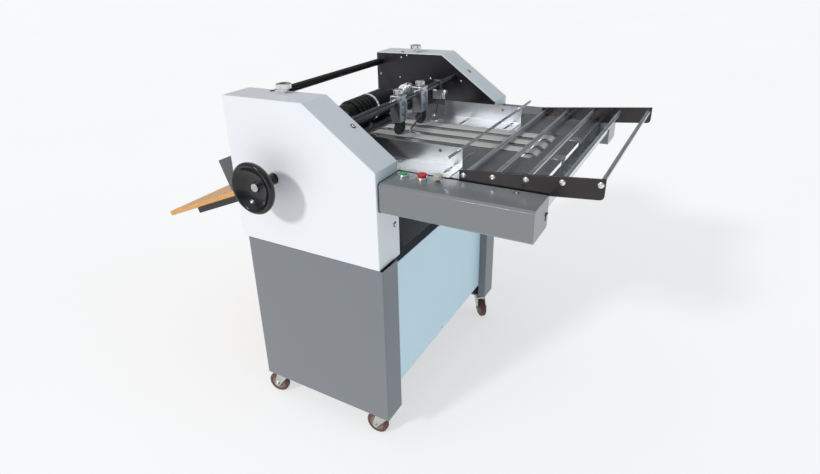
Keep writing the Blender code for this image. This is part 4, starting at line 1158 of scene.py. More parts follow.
# ---- stand and casters
@dataclass
class Stand(Assembly):
    """The folded sides, the two panels and the welded frame inside."""

    front: float = STAND_X[1]
    rear: float = STAND_X[0]
    width: float = MACHINE_WIDTH - STAND_SHORT
    flange: float = 0.084
    lip: float = 0.028
    bottom: float = 0.103
    top: float = 0.630 - GAP
    panel_z: Span = (0.157, 0.590)
    panel_sheet: float = 0.0015

    def build(self) -> None:
        """Makes the stand."""
        for side in Side:
            self.side(side)
        self.panel("front", self.front - self.lip - GAP - self.panel_sheet, PANEL_BLUE)
        self.panel("rear", self.rear + self.lip + GAP, STAND_GREY)
        self.gland()
        frame = Shape.of_node(self.bench, "stand_frame").softened(0.0012, 2)
        self.deliver(frame, "stand_frame_welded", FRAME_GREY, "stand_frame")
        self.fixings()

    def side(self, side: Side) -> None:
        """One folded side sheet."""
        path = [(self.rear + self.lip, self.flange), (self.rear, self.flange), (self.rear, 0.0),
                (self.front, 0.0), (self.front, self.flange), (self.front - self.lip, self.flange)]
        sheet = Shape.prism(band(path, SHEET, 0.0042), (self.bottom, self.top), Axis.Z)
        sheet.softened(0.0005, 2)
        if side is Side.FAR:
            mirrored(sheet, self.width)
        self.deliver(
            sheet, f"stand_side_{side.value}_sheet", STAND_GREY, f"stand_side_{side.value}")

    def panel(self, end: str, face: float, finish: Finish) -> None:
        """A panel behind the flange lips."""
        ys = (self.flange - 0.022, self.width - self.flange + 0.022)
        outline = filleted(rectangle(ys, self.panel_z), 0.005)
        sheet = Shape.prism(outline, (face, face + self.panel_sheet), Axis.X).softened(0.0004, 2)
        self.deliver(sheet, f"stand_{end}_panel_sheet", finish, f"stand_{end}_panel")

    def gland(self) -> None:
        """The cord gland on the rear panel."""
        face = self.rear + self.lip + GAP
        spot = (0.160, 0.250)
        nut = Shape.prism(arc(0.012, HEXAGON, spot), (face - 0.006, face), Axis.X)
        nut.softened(0.0008, 2)
        dome = Shape.turned([
            (0.004, face - 0.020), (0.0070, face - 0.020), (0.0088, face - 0.016),
            (0.0092, face - 0.005), (0.004, face - 0.005)], Axis.X, spot, 48, 0.0008, ring=True)
        ribs = self.knurled(0.0098, (face - 0.015, face - 0.007), Axis.X, spot, SWITCH_BLACK, 18)
        core = Shape.turned([(0, face - 0.010), (0.0045, face - 0.010), (0.0045, face - 0.004),
                             (0, face - 0.004)], Axis.X, spot, 32, 0.0)
        self.deliver(nut.beside(dome, ribs, core), "cord_gland", SWITCH_BLACK)

    def fixings(self) -> None:
        """The panel screws, and the bolts of the caster plates."""
        face = self.front - self.lip - GAP
        y0, y1 = self.flange + 0.004, self.width - self.flange - 0.004
        spots = [((face, y, z), (1, 0, 0)) for z in (0.580, 0.168)
                 for y in (y0, (y0 + y1) / 2, y1)]
        back = self.rear + self.lip + GAP
        spots += [((back, y, z), (-1, 0, 0)) for z in (0.580, 0.168)
                  for y in (y0, (y0 + y1) / 2, y1)]
        self.screws("stand_panel_screws", cross_screw(0.0045, 0.0022), SCREW_ZINC, spots, 3)
        hexes = Shape.prism(filleted(arc(0.006, HEXAGON), 0.0006, steps=2), (-0.001, 0.0045),
                            Axis.Z).softened(0.0005, 2)
        bolts = [((x + dx, y + dy, 0.100), (0, 0, -1))
                 for x in (self.front - CASTER_IN[0], self.rear + CASTER_IN[0])
                 for y in (CASTER_IN[1], self.width - CASTER_IN[1]) for dx in (-0.031, 0.031)
                 for dy in (-0.028, 0.028)]
        self.screws("caster_plate_bolts", hexes, SCREW_ZINC, bolts, 5)


@dataclass
class Caster(Assembly):
    """One swivel caster: fork, tread and hub.

    Attributes:
        place: Its corner, as in near_front.
        yaw: How far it is swivelled, in degrees.
    """

    place: str = "near_front"
    yaw: float = 180.0
    wheel: float = 0.0375
    half: float = 0.012
    trail: float = 0.028
    fork_sheet: float = 0.003
    wear: float = 0.0005

    def build(self) -> None:
        """Makes the caster."""
        depth, end = self.place.split("_")
        (rear, front), (dx, dy) = STAND_X, CASTER_IN
        pivot = Vector((front - dx if end == "front" else rear + dx,
                        dy if depth == "near" else MACHINE_WIDTH - STAND_SHORT - dy, 0.0))
        turn = Matrix.Translation(pivot) @ Matrix.Rotation(radians(self.yaw), 4, "Z")
        fork, race = self.fork()
        self.deliver(fork.moved(turn), f"caster_fork_{self.place}_pressing", FORK_ZINC,
                     f"caster_fork_{self.place}", f"swivel_{self.place}")
        self.deliver(
            race.moved(turn), f"caster_race_{self.place}", SCREW_ZINC, body=f"swivel_{self.place}")
        tread, hub = self.rolling()
        self.deliver(tread.moved(turn), f"caster_tread_{self.place}", TREAD_BROWN,
                     f"caster_wheel_{self.place}", f"wheel_{self.place}")
        self.deliver(
            hub.moved(turn), f"caster_hub_{self.place}", HUB_GREY, body=f"wheel_{self.place}")

    def fork(self) -> tuple[Shape, Shape]:
        """The pressed fork with its axle bolt, and the ball race on top."""
        inner, t = self.half + 0.003, self.fork_sheet
        low, high = 0.0815, 0.0855
        cheek = [(-0.022, high - 0.001)]
        cheek += arc(0.010, range(200, 385, 15), (self.trail, self.wheel))
        cheek += [(0.024, high - 0.001)]
        path = [(-inner - t, 0.020), (-inner - t, high), (inner + t, high), (inner + t, 0.020)]
        saddle = Shape.prism(band(path[::-1], t, 0.006), (-0.030, 0.045), Axis.X)
        mask = Shape.prism(filleted(cheek, 0.002), (-0.03, 0.03), Axis.Y)
        saddle.kept(mask).softened(0.0006, 2)
        spot, reach = (self.trail, self.wheel), inner + t
        bolt = Shape.bar(0.005, Axis.Y, spot, (-reach - 0.005, reach + 0.005), 0.0005, 28)
        hexagon = filleted(arc(0.008, HEXAGON, spot), 0.0006, steps=2)
        nuts = [Shape.prism(hexagon, ys).softened(0.0005, 2)
                for ys in ((-reach - 0.0036, -reach), (reach, reach + 0.0036))]
        race = Shape.turned([
            (0, 0.0992), (0.024, 0.0992), (0.0245, 0.0955), (0.021, 0.0925), (0.0205, 0.0905),
            (0.0225, 0.0885), (0.019, low + 0.0035), (0, low + 0.0035)], Axis.Z, (0, 0), 56, 0.0012)
        return saddle.beside(bolt, *nuts), race

    def rolling(self) -> tuple[Shape, Shape]:
        """The tread and the hub."""
        r, w, spot = self.wheel - self.wear, self.half, (self.trail, self.wheel)
        tread = Shape.turned([
            (r - 0.013, -w + 0.001), (r - 0.006, -w), (r, -w + 0.005), (r, w - 0.005),
            (r - 0.006, w), (r - 0.013, w - 0.001)], Axis.Y, spot, 72, 0.003, ring=True)
        hub = Shape.turned([
            (0.0053, -w - 0.002), (0.011, -w - 0.002), (0.0135, -w + 0.003),
            (r - 0.015, -w + 0.003), (r - 0.0125, -w + 0.0012), (r - 0.0125, w - 0.0012),
            (r - 0.015, w - 0.003), (0.0135, w - 0.003), (0.011, w + 0.002), (0.0053, w + 0.002)],
            Axis.Y, spot, 56, 0.0008, ring=True)
        rib = Shape.block((0.0, 0.0085), (-0.0009, 0.0009), (0.0, 2 * w - 0.0044))
        spokes = self.growers.teeth.grow(HUB_GREY, rib.softened(0.0003, 2), Count=10, Radius=0.0130)
        return tread, hub.beside(spokes.laid(Axis.Y, spot, -w + 0.0022))


# ---- housings
@dataclass
class Housing(Assembly):
    """One side housing: sheet cover, steel side frame and pressure screw.

    Attributes:
        side: Which one.
    """

    side: Side = Side.NEAR
    plate: float = 0.008
    knob_y: float = 0.084
    outline: tuple[Point, ...] = (
        (-0.502, 0.630), (0.0, 0.630), (0.0, 0.911), (-0.217, HOUSING_TOP), (-0.502, HOUSING_TOP))

    def build(self) -> None:
        """Makes the housing."""
        self.cover()
        self.frame()
        self.pressure_knob()
        self.fixings()

    def cover(self) -> None:
        """The sheet cover, open at the back and below."""
        near = self.side is Side.NEAR
        shell = Shape.prism(self.outline, (0.0, FRAME_IN)).softened(0.0024, 4)
        hollow = inset(self.outline, SHEET)
        hollow[0], hollow[1] = (hollow[0][0], 0.600), (hollow[1][0], 0.600)
        shell.cut(Shape.prism(hollow, (SHEET, FRAME_IN + 0.02)), Shape.bar(0.0078, Axis.Z,
                  (TOOL_X, self.knob_y), (1.05, 1.09)), Shape.block((-0.005, 0.004),
                  (FRAME_IN - 0.0035, FRAME_IN + 0.01), (0.9035, 0.9165)))
        if near:
            shell.cut(Shape.bar(0.017, Axis.Y, (TOOL_X, LOWER_Z), (-0.01, 0.01), 0.001, 72))
        else:
            mirrored(shell)
        self.deliver(
            shell, f"cover_{self.side.value}_sheet", COVER_WHITE, f"side_cover_{self.side.value}")

    def frame(self) -> None:
        """The steel plate with its bearing block."""
        out = FRAME_IN - self.plate
        plate = Shape.prism(inset(self.outline, SHEET + GAP, keep=(0,)), (out, FRAME_IN))
        plate.softened(0.0008, 2)
        house = Shape.block((TOOL_X - 0.025, TOOL_X + 0.025), (out - 0.039, out + 0.002),
                            (UPPER_Z - 0.032, UPPER_Z + 0.048)).softened(0.0015, 3)
        plate.beside(house)
        if self.side is Side.FAR:
            mirrored(plate)
        name = f"side_frame_{self.side.value}"
        self.deliver(plate, name + "_plate", PLATE_BLACK, name)
        y0, y1 = self.side.span(FRAME_IN, FRAME_IN + 0.0024)
        rings = None
        for spot, radius in (((TOOL_X, UPPER_Z), 0.0125),
                             ((TOOL_X, LOWER_Z), 0.0125), (REAR_ROLLER, 0.008)):
            bush = Shape.turned([(radius + GAP, y0), (radius + 0.006, y0), (radius + 0.006, y1),
                                 (radius + GAP, y1)], Axis.Y, spot, 56, 0.0005, ring=True)
            rings = bush if rings is None else rings.beside(bush)
        self.deliver(rings, f"shaft_bushes_{self.side.value}", DARK_STEEL)

    def pressure_knob(self) -> None:
        """The knurled head on its threaded screw."""
        y, top = self.side.y(self.knob_y), HOUSING_TOP
        spot = (TOOL_X, y)
        tip = UPPER_Z + 0.048 + GAP
        body, node = f"press_{self.side.value}", f"pressure_knob_{self.side.value}"
        profile = [(0, tip), (0.0055, tip), (0.0072, tip + 0.004), (0.0072, top + 0.004),
                   (0.0125, top + 0.006), (0.0125, top + 0.0115), (0.0200, top + 0.0125),
                   (0.0212, top + 0.0145), (0.0212, top + 0.0255), (0.0195, top + 0.0272),
                   (0.0105, top + 0.0272), (0.0105, top + 0.0255), (0, top + 0.0255)]
        head = Shape.turned(profile, Axis.Z, spot, 72, 0.0005)
        head.beside(self.knurled(0.0221, (top + 0.0145, top + 0.0255), Axis.Z, spot, NICKEL, 60))
        self.deliver(head, node + "_head", NICKEL, node, body)
        cap = Shape.turned([(0, top + 0.0245), (0.0100, top + 0.0245), (0.0100, top + 0.0272),
                            (0.0092, top + 0.0276), (0, top + 0.0276)], Axis.Z, spot, 48, 0.0003)
        cap.cut(Shape.block((spot[0] - 0.0012, spot[0] + 0.0012), (y - 0.02, y + 0.02),
                (top + 0.0262, top + 0.03)))
        self.deliver(cap, node + "_slot", DARK_STEEL, body=body)

    def fixings(self) -> None:
        """Screws on the slope, the front face, the top and the plate's inner face."""
        rise = Vector((HOUSING_TOP - 0.911, 0.0, 0.217)).normalized()
        if self.side is Side.NEAR:
            spots = [((-0.119, 0.088, 0.9982), rise), ((0.0, 0.0896, 0.7347), (1, 0, 0))]
            dark = [((-0.3936, 0.093, HOUSING_TOP), (0, 0, 1))]
        else:
            spots = [((-0.129, 0.893, 1.0055), rise)]
            dark = [((-0.3936, 0.857, HOUSING_TOP), (0, 0, 1))]
            places = ((-0.484, 0.9855), (-0.396, 0.9776), (-0.4715, 0.9115), (-0.389, 1.053),
                      (-0.364, 1.062), (-0.263, 0.980), (-0.239, 0.963), (-0.136, 0.9775))
            inner = [((x, MACHINE_WIDTH - FRAME_IN, z), (0, -1, 0)) for x, z in places]
            self.screws("plate_screws_far", dome_screw(0.0034, 0.0022), SCREW_ZINC, inner, 11)
        self.screws(
            f"cover_screws_{self.side.value}", cross_screw(0.0052, 0.0034), SCREW_ZINC, spots, 2)
        self.screws(f"cover_washers_{self.side.value}", dark_washer(0.0082), DARK_STEEL, spots, 2)
        self.screws(
            f"cover_plugs_{self.side.value}", dome_screw(0.0072, 0.0030), DARK_STEEL, dark, 4)


# ---- tool shafts
@dataclass
class ToolShafts(Assembly):
    """Both tool shafts, the sleeve, the creasing ring, the handwheel and the tie bars."""

    shaft: float = 0.0125
    gear_y: Span = (MACHINE_WIDTH - 0.061, MACHINE_WIDTH - 0.045)
    sleeve_y: Span = (0.350, 0.655)
    step_y: float = 0.395
    ring_y: Span = (0.505, 0.517)
    wheel_front: float = -0.095

    def build(self) -> None:
        """Makes the shafts and what turns with them."""
        self.lower()
        self.upper()
        self.sleeve()
        self.handwheel()
        tie = Shape.bar(0.0125, Axis.Y, (-0.484, 1.035),
                        (FRAME_IN + GAP, MACHINE_WIDTH - FRAME_IN - GAP), 0.0006, 48)
        self.deliver(tie, "tie_bar", TRAY_BLACK, "tie_bar_rear")
        rod = Shape.bar(0.005, Axis.Y, (-0.290, 0.922),
                        (FRAME_IN + GAP, MACHINE_WIDTH - FRAME_IN - GAP), 0.0005, 32)
        self.deliver(rod, "stripper_rod", RAIL_STEEL)

    def gear(self, z: float, phase: float, name: str, body: str, finish: Finish) -> None:
        """A spur gear: a turned blank and a ring of teeth."""
        teeth, pitch = 26, (UPPER_Z - LOWER_Z) / 2
        module = 2 * pitch / teeth
        tip, root = pitch + 0.8 * module, pitch - 1.05 * module
        low, high = self.gear_y
        step = 2 * pi / teeth
        flank = [(-0.0012, -0.30), (0.0, -0.30), (tip - root, -0.11), (tip - root, 0.11),
                 (0.0, 0.30), (-0.0012, 0.30)]
        outline = [(r, (root + r) * share * step) for r, share in flank]
        tooth = Shape.prism(outline, (0.0, high - low), Axis.Z).softened(0.0004, 2)
        ring = self.growers.teeth.grow(
            finish, tooth, Count=teeth, Radius=root, Phase=-radians(phase))
        ring.laid(Axis.Y, (TOOL_X, z), low)
        blank = Shape.turned([
            (self.shaft, low), (0.022, low), (0.022, low + 0.002), (root - 0.008, low + 0.002),
            (root - 0.008, low), (root, low), (root, high), (root - 0.008, high),
            (root - 0.008, high - 0.002), (0.022, high - 0.002), (0.022, high), (self.shaft, high)],
            Axis.Y, (TOOL_X, z), 96, 0.0004, ring=True)
        self.deliver(blank.beside(ring), name, finish, body=body)

    def lower(self) -> None:
        """The driven shaft with its roller and pulley."""
        near, far = FRAME_IN + 0.003, MACHINE_WIDTH - FRAME_IN - 0.003
        s, front = self.shaft, self.wheel_front + 0.014
        p0, p1 = PULLEY_Y
        profile = [(0, front), (s - 0.001, front), (s, front + 0.001), (s, near), (0.020, near),
                   (0.020, near + 0.010), (0.043, near + 0.010), (0.043, far - 0.010),
                   (0.020, far - 0.010), (0.020, far), (s, far), (s, p0), *pulley(0.035), (s, p1),
                   (s, p1 + 0.006), (0, p1 + 0.006)]
        turned = Shape.turned(profile, Axis.Y, (TOOL_X, LOWER_Z), 80, 0.0008)
        self.deliver(turned, "lower_shaft", TURNED_STEEL, "lower_tool_shaft", "lower_tool")
        self.gear(LOWER_Z, 90.0, "lower_gear", "lower_tool", DARK_STEEL)

    def upper(self) -> None:
        """The shaft over it, with two parked collars and their set screws."""
        s = self.shaft
        profile = [(0, FRAME_IN - 0.042), (s, FRAME_IN - 0.042)]
        for low in (0.762, 0.792):
            profile += [(
                s, low), (0.021, low), (0.021, low + 0.009), (0.030, low + 0.009),
                (0.030, low + 0.014), (0.024, low + 0.016), (0.024, low + 0.020), (s, low + 0.020)]
        end = self.gear_y[1] + 0.004
        profile += [(s, end), (0, end)]
        turned = Shape.turned(profile, Axis.Y, (TOOL_X, UPPER_Z), 80, 0.0008)
        self.deliver(turned, "upper_shaft", CHROME, "upper_tool_shaft", "upper_tool")
        self.gear(UPPER_Z, -90.0 + 180.0 / 26, "upper_gear", "upper_tool", DARK_STEEL)
        spots = [((TOOL_X + 0.021 * cos(a), low + 0.0045, UPPER_Z + 0.021 * sin(a)),
                  (cos(a), 0, sin(a)))
                 for low in (0.762, 0.792) for a in (0.6, 0.6 + tau / 3)]
        self.screws(
            "collar_set_screws", dome_screw(0.0026, 0.0010), DARK_STEEL, spots, 6, "upper_tool")

    def sleeve(self) -> None:
        """The black drum with its ringed end, and the bright ring in its seat."""
        low, high = self.sleeve_y
        bore, r, seat = self.shaft + GAP, 0.0465, 0.0385
        y0, y1 = self.ring_y
        spot = (TOOL_X, UPPER_Z)
        profile = [(bore, low), (0.0368, low), (0.0368, self.step_y), (0.0405, self.step_y),
                   (0.0405, y0 - GAP), (seat, y0 - GAP), (seat, y1 + GAP), (r, y1 + GAP),
                   (r, high - 0.030), (r - 0.006, high - 0.024), (r - 0.006, high), (bore, high)]
        drum = Shape.turned(profile, Axis.Y, spot, 96, 0.0010, ring=True)
        width = (self.step_y - low) / 3
        rib = Shape.turned([(0.036, 0.0), (0.040, 0.0), (0.040, width - 0.003),
                            (0.036, width - 0.003)], Axis.Y, spot, 96, 0.0012, ring=True)
        ribs = self.growers.row.grow(SLEEVE_RUBBER, rib, Count=3, Offset=(0.0, width, 0.0))
        land = Shape.turned([(0.0395, 0.0), (r, 0.0), (r, 0.0168), (0.0395, 0.0168)],
                            Axis.Y, spot, 96, 0.0022, ring=True)
        lands = self.growers.row.grow(SLEEVE_RUBBER, land, Count=5, Offset=(0.0, 0.0229, 0.0))
        drum.beside(ribs.shifted(0, low, 0), lands.shifted(0, self.step_y, 0))
        self.deliver(drum, "crease_sleeve_drum", SLEEVE_RUBBER, "crease_sleeve", "upper_tool")
        middle, top = (y0 + y1) / 2, 0.0475
        ring = Shape.turned([
            (seat + GAP, y0), (top - 0.003, y0), (top, middle - 0.001), (top, middle + 0.001),
            (top - 0.003, y1), (seat + GAP, y1)], Axis.Y, spot, 96, 0.0004, ring=True)
        self.deliver(ring, "crease_ring_blade", CHROME, "crease_ring", "upper_tool")

    def handwheel(self) -> None:
        """The dished gloss wheel, its hub nut and washer."""
        f, bore, spot = self.wheel_front, self.shaft + GAP, (TOOL_X, LOWER_Z)
        dish = [(0.016 + 0.047 * k / 12, f + 0.0245 - 0.0225 * (k / 12) ** 2.6)
                for k in range(13)]
        profile = [(
            bore, f + 0.0225), *dish, (0.0665, f), (0.0715, f + 0.0012), (0.0748, f + 0.006),
            (0.0748, f + 0.012), (0.0718, f + 0.0185), (0.062, f + 0.0245), (0.044, f + 0.035),
            (0.020, f + 0.038), (0.0165, f + 0.052), (0.0165, -0.004), (bore, -0.004)]
        wheel = Shape.turned(profile, Axis.Y, spot, 112, 0.0030, ring=True)
        self.deliver(wheel, "handwheel_rim", WHEEL_BLACK, "handwheel", "lower_tool", crease=50)
        nut = Shape.turned([(0, f + 0.0145), (0.0060, f + 0.0145), (0.0078, f + 0.0165),
                            (0.0078, f + 0.0235), (0, f + 0.0235)], Axis.Y, spot, 56, 0.0012)
        nut.cut(Shape.prism(arc(0.0035, range(10, 370, 60), spot), (f, f + 0.0180)))
        washer = Shape.turned([(0, f + 0.0220), (0.0135, f + 0.0220), (0.0160, f + 0.0262),
                               (0, f + 0.0262)], Axis.Y, spot, 56, 0.0008)
        self.deliver(nut.beside(washer), "handwheel_nut", NUT_BLACK, body="lower_tool")


# ---- feed side
@dataclass
class FeedTable(Assembly):
    """The table plate, the three belts and their two rollers."""

    top: float = 0.884
    thick: float = 0.006
    ends: Span = (-0.290, 0.362)
    rollers: Span = (0.272, REAR_ROLLER[0])
    belts: tuple[float, ...] = (0.411, 0.485, 0.559)

    def build(self) -> None:
        """Makes the table and its belts."""
        self.plate()
        for end, x in zip(("front", "rear"), self.rollers):
            self.roller(end, x)
        z = self.top + 0.0005 - ROLLER_R
        loop = taut_loop([(x, z, ROLLER_R) for x in self.rollers], GAP + 0.001)
        for name, y in zip(("near", "middle", "far"), self.belts):
            made = self.growers.bands.grow(
                BELT_GREY, None, loop_mesh(loop, y), Width=0.042, Thickness=0.002, Edge=0.0007)
            self.deliver(made, f"belt_{name}", BELT_GREY, f"feed_belt_{name}", weighted=False)

    def plate(self) -> None:
        """The table plate with its belt windows and guide slots."""
        low, tight, step = 0.1138, 0.1246, -0.002
        x0, x1 = self.ends
        far = MACHINE_WIDTH
        outline = [(x0, low), (step, low), (step, tight), (x1, tight), (x1, far - tight),
                   (step, far - tight), (step, far - low), (x0, far - low)]
        plate = Shape.prism(outline, (self.top - self.thick, self.top), Axis.Z)
        zs = (self.top - 0.02, self.top + 0.02)
        for x in self.rollers:
            window = filleted(rectangle((x - 0.0225, x + 0.0225), (0.352, 0.618)), 0.003)
            plate.cut(Shape.prism(window, zs, Axis.Z))
        for ys in ((0.142, 0.350), (0.597, 0.815)):
            for x in SLOT_XS:
                plate.cut(slotted_hole((x - 0.004, x + 0.004), ys, zs))
        self.deliver(plate.softened(0.0006, 2), "table_plate", TABLE_STEEL, "feed_table")

    def roller(self, end: str, x: float) -> None:
        """A belt roller on its shaft."""
        y0, y1 = self.belts[0] - 0.030, self.belts[-1] + 0.030
        (p0, p1), r = PULLEY_Y, 0.008
        low, high = (0.112, MACHINE_WIDTH - 0.112) if end == "front" else (0.0995, p1 + 0.004)
        profile = [(0, low), (r, low), (r, y0), (ROLLER_R, y0), (ROLLER_R, y1), (r, y1)]
        if end == "rear":
            profile += [(r, p0), *pulley(0.0245), (r, p1)]
        profile += [(r, high), (0, high)]
        turned = Shape.turned(profile, Axis.Y, (x, self.top + 0.0005 - ROLLER_R), 72, 0.0008)
        self.deliver(
            turned, f"{end}_roller_turned", TURNED_STEEL, f"{end}_belt_roller", f"{end}_roller")


@dataclass
class ControlBeams(Assembly):
    """The two box beams, and the controls on the near one."""

    length: float = 0.402
    top: float = 0.883
    low: float = 0.800
    across: Span = (0.008, 0.119)

    def build(self) -> None:
        """Makes the beams and the controls."""
        for side in Side:
            self.beam(side)
        self.buttons()
        self.dial()
        self.rocker()
        spot = [((0.3307, 0.0962, self.top), (0, 0, 1))]
        self.screws("beam_screw", dome_screw(0.0042, 0.0026), SCREW_ZINC, spot)
        self.screws("beam_washer", dark_washer(0.0072), DARK_STEEL, spot)

    def beam(self, side: Side) -> None:
        """A folded box beam, and a thin black frame where it meets the housing: painted shade
        standing in for the shadow gap there.
        """
        (y0, y1), c = side.span(*self.across), 0.006

        def section(grow: float) -> list[Point]:
            a, b, low, top = y0 - grow, y1 + grow, self.low - grow, self.top + grow
            return filleted([(a + c, low), (b - c, low), (b, low + c), (b, top - c), (b - c, top),
                             (a + c, top), (a, top - c), (a, low + c)], 0.0022, steps=3)

        beam = Shape.prism(section(0.0), (0.0022, self.length), Axis.X).softened(0.0012, 3, 50)
        if side is Side.NEAR:
            x, y, z = self.length, 0.104, 0.833
            beam.cut(Shape.block((x - 0.009, x + 0.01), (y - 0.0066, y + 0.0066),
                     (z - 0.0096, z + 0.0096)))
        name = f"beam_{side.value}"
        self.deliver(beam, name + "_box", BEAM_GREY, name)
        # Thin black frame round the beam's end: painted shade that stands in for the shadow gap at
        # the housing, not a real part.
        painted_shadow_gap = Shape.prism(section(0.0006), (GAP, 0.0030), Axis.X).softened(0.0004, 2, 50)
        self.deliver(painted_shadow_gap, name + "_gasket", PAD_RUBBER)

    def buttons(self) -> None:
        """Two pushbuttons in bright bezels."""
        y, t = 0.080, self.top
        for node, x, body, finish in (("green_button", 0.036, "start_button", CAP_GREEN),
                                      ("red_button", 0.090, "stop_button", CAP_RED)):
            bezel = Shape.turned([
                (0.0104, t - 0.0006), (0.0140, t - 0.0006), (0.0140, t + 0.0052),
                (0.0128, t + 0.0072), (0.0104, t + 0.0072)], Axis.Z, (x, y), 72, 0.0006, ring=True)
            self.deliver(bezel, node + "_bezel", NICKEL)
            b = t + 0.0072
            profile = [(0, b - 0.010), (0.0100, b - 0.010)]
            if body == "start_button":
                profile += [(0.0100, b + 0.0026), (0.0088, b + 0.0036), (0, b + 0.0038)]
            else:
                profile += [(0.0098, b + 0.0042), (0.0128, b + 0.0048), (0.0128, b + 0.0076),
                            (0.0110, b + 0.0091), (0.005, b + 0.0097), (0, b + 0.0098)]
            cap = Shape.turned(profile, Axis.Z, (x, y), 72, 0.0010)
            self.deliver(cap, node + "_cap", finish, node, body)

    def dial(self) -> None:
        """The fluted speed dial on its brass stem."""
        spot, t = (0.132, 0.085), self.top
        grip = Shape.turned([
            (0, t + 0.007), (0.0113, t + 0.007), (0.0117, t + 0.0085), (0.0112, t + 0.0185),
            (0.0095, t + 0.020), (0, t + 0.020)], Axis.Z, spot, 72, 0.0009)
        rib = Shape.prism(filleted([(-0.002, -0.0016), (0.0009, -0.0011), (0.0009, 0.0011),
                                    (-0.002, 0.0016)], 0.0006), (0.0, 0.0095), Axis.Z)
        ribs = self.growers.teeth.grow(DIAL_BEIGE, rib.softened(0.0003, 2), Count=14, Radius=0.0114)
        grip.beside(ribs.shifted(*spot, t + 0.0082))
        self.deliver(grip, "speed_dial_grip", DIAL_BEIGE, "speed_dial", "dial")
        stem = Shape.turned([(0, t - 0.006), (0.003, t - 0.006), (0.003, t + 0.0006),
                             (0.0075, t + 0.0006), (0.0075, t + 0.0022), (0.0036, t + 0.0030),
                             (0.0036, t + 0.0075), (0, t + 0.0075)], Axis.Z, spot, 48, 0.0005)
        self.deliver(stem, "speed_dial_stem", DIAL_BRASS, body="dial")

    def rocker(self) -> None:
        """The power rocker's key."""
        x, y, z, half = self.length, 0.104, 0.833, 0.009
        outline = filleted([(-0.006, -half + 0.003), (0.0, -half), (0.0045, -half), (0.0032, 0.0),
                            (0.0045, half), (0.0, half), (-0.006, half - 0.003)], 0.0007)
        key = Shape.prism(outline, (-0.0060, 0.0060)).softened(0.0004, 2)
        key.moved(Matrix.Translation((x - 0.002, y, z))
                  @ Matrix.Rotation(radians(7.0), 4, "Y"))
        self.deliver(key, "power_rocker_key", SWITCH_BLACK, "power_rocker", "rocker")


@dataclass
class FeedTray(Assembly):
    """The two black tray plates, the five cross rods, the channel below and a small bracket."""

    span_x: Span = (0.174, 0.521)
    edge: Span = (0.909, 0.939)
    height: float = 0.050
    thick: float = 0.005
    plate_y: float = 0.1193
    rods: tuple[float, ...] = (0.186, 0.262, 0.344, 0.428, 0.511)

    def rod_z(self, x: float) -> float:
        """Height of a rod's centre."""
        share = (x - self.span_x[0]) / (self.span_x[1] - self.span_x[0])
        return self.edge[0] + share * (self.edge[1] - self.edge[0]) - 0.0135

    def build(self) -> None:
        """Makes the tray."""
        (x0, x1), (z0, z1) = self.span_x, self.edge
        corners = [(x0, z0 - self.height), (x1, z1 - self.height), (x1, z1), (x0, z0)]
        outline = filleted(corners, [0.002, 0.012, 0.003, 0.003], steps=6)
        for side in Side:
            ys = side.span(self.plate_y, self.plate_y + self.thick)
            plate = Shape.prism(outline, ys).softened(0.0008, 3, 40)
            self.deliver(
                plate, f"tray_plate_{side.value}_cut", TRAY_BLACK, f"tray_plate_{side.value}")
            way = -1 if side is Side.NEAR else 1
            spots = [((x, side.y(self.plate_y), self.rod_z(x)), (0, way, 0)) for x in self.rods]
            self.screws(
                f"tray_screws_{side.value}", dome_screw(0.0075, 0.0042), SCREW_ZINC, spots, 9)
        inner = self.plate_y + self.thick + GAP
        for i, x in enumerate(self.rods, 1):
            rod = Shape.bar(
                0.006, Axis.Y, (x, self.rod_z(x)), (inner, MACHINE_WIDTH - inner), 0.0007, 40)
            self.deliver(rod, f"tray_rod_{i}_turned", ROD_CHROME, f"tray_rod_{i}")
        ys = (0.1193, MACHINE_WIDTH - 0.1193)
        path = [(0.366, 0.874), (0.366, 0.842), (0.398, 0.842), (0.398, 0.874)]
        channel = Shape.prism(band(path, SHEET, 0.0035), ys).softened(0.0004, 2)
        self.deliver(channel, "channel_folded", SHEET_ZINC, "cross_channel")
        for y0, y1 in ((0.370, 0.410), (0.560, 0.600)):
            tab = band([(0.3625, 0.858), (0.3642, 0.858), (0.3642, 0.8845), (0.336, 0.8845)],
                       0.0012, 0.002)
            tab = Shape.prism(tab, (y0, y1)).softened(0.0003, 2)
            self.deliver(tab, f"table_tab_{round(y0 * 1000)}", SCREW_ZINC)


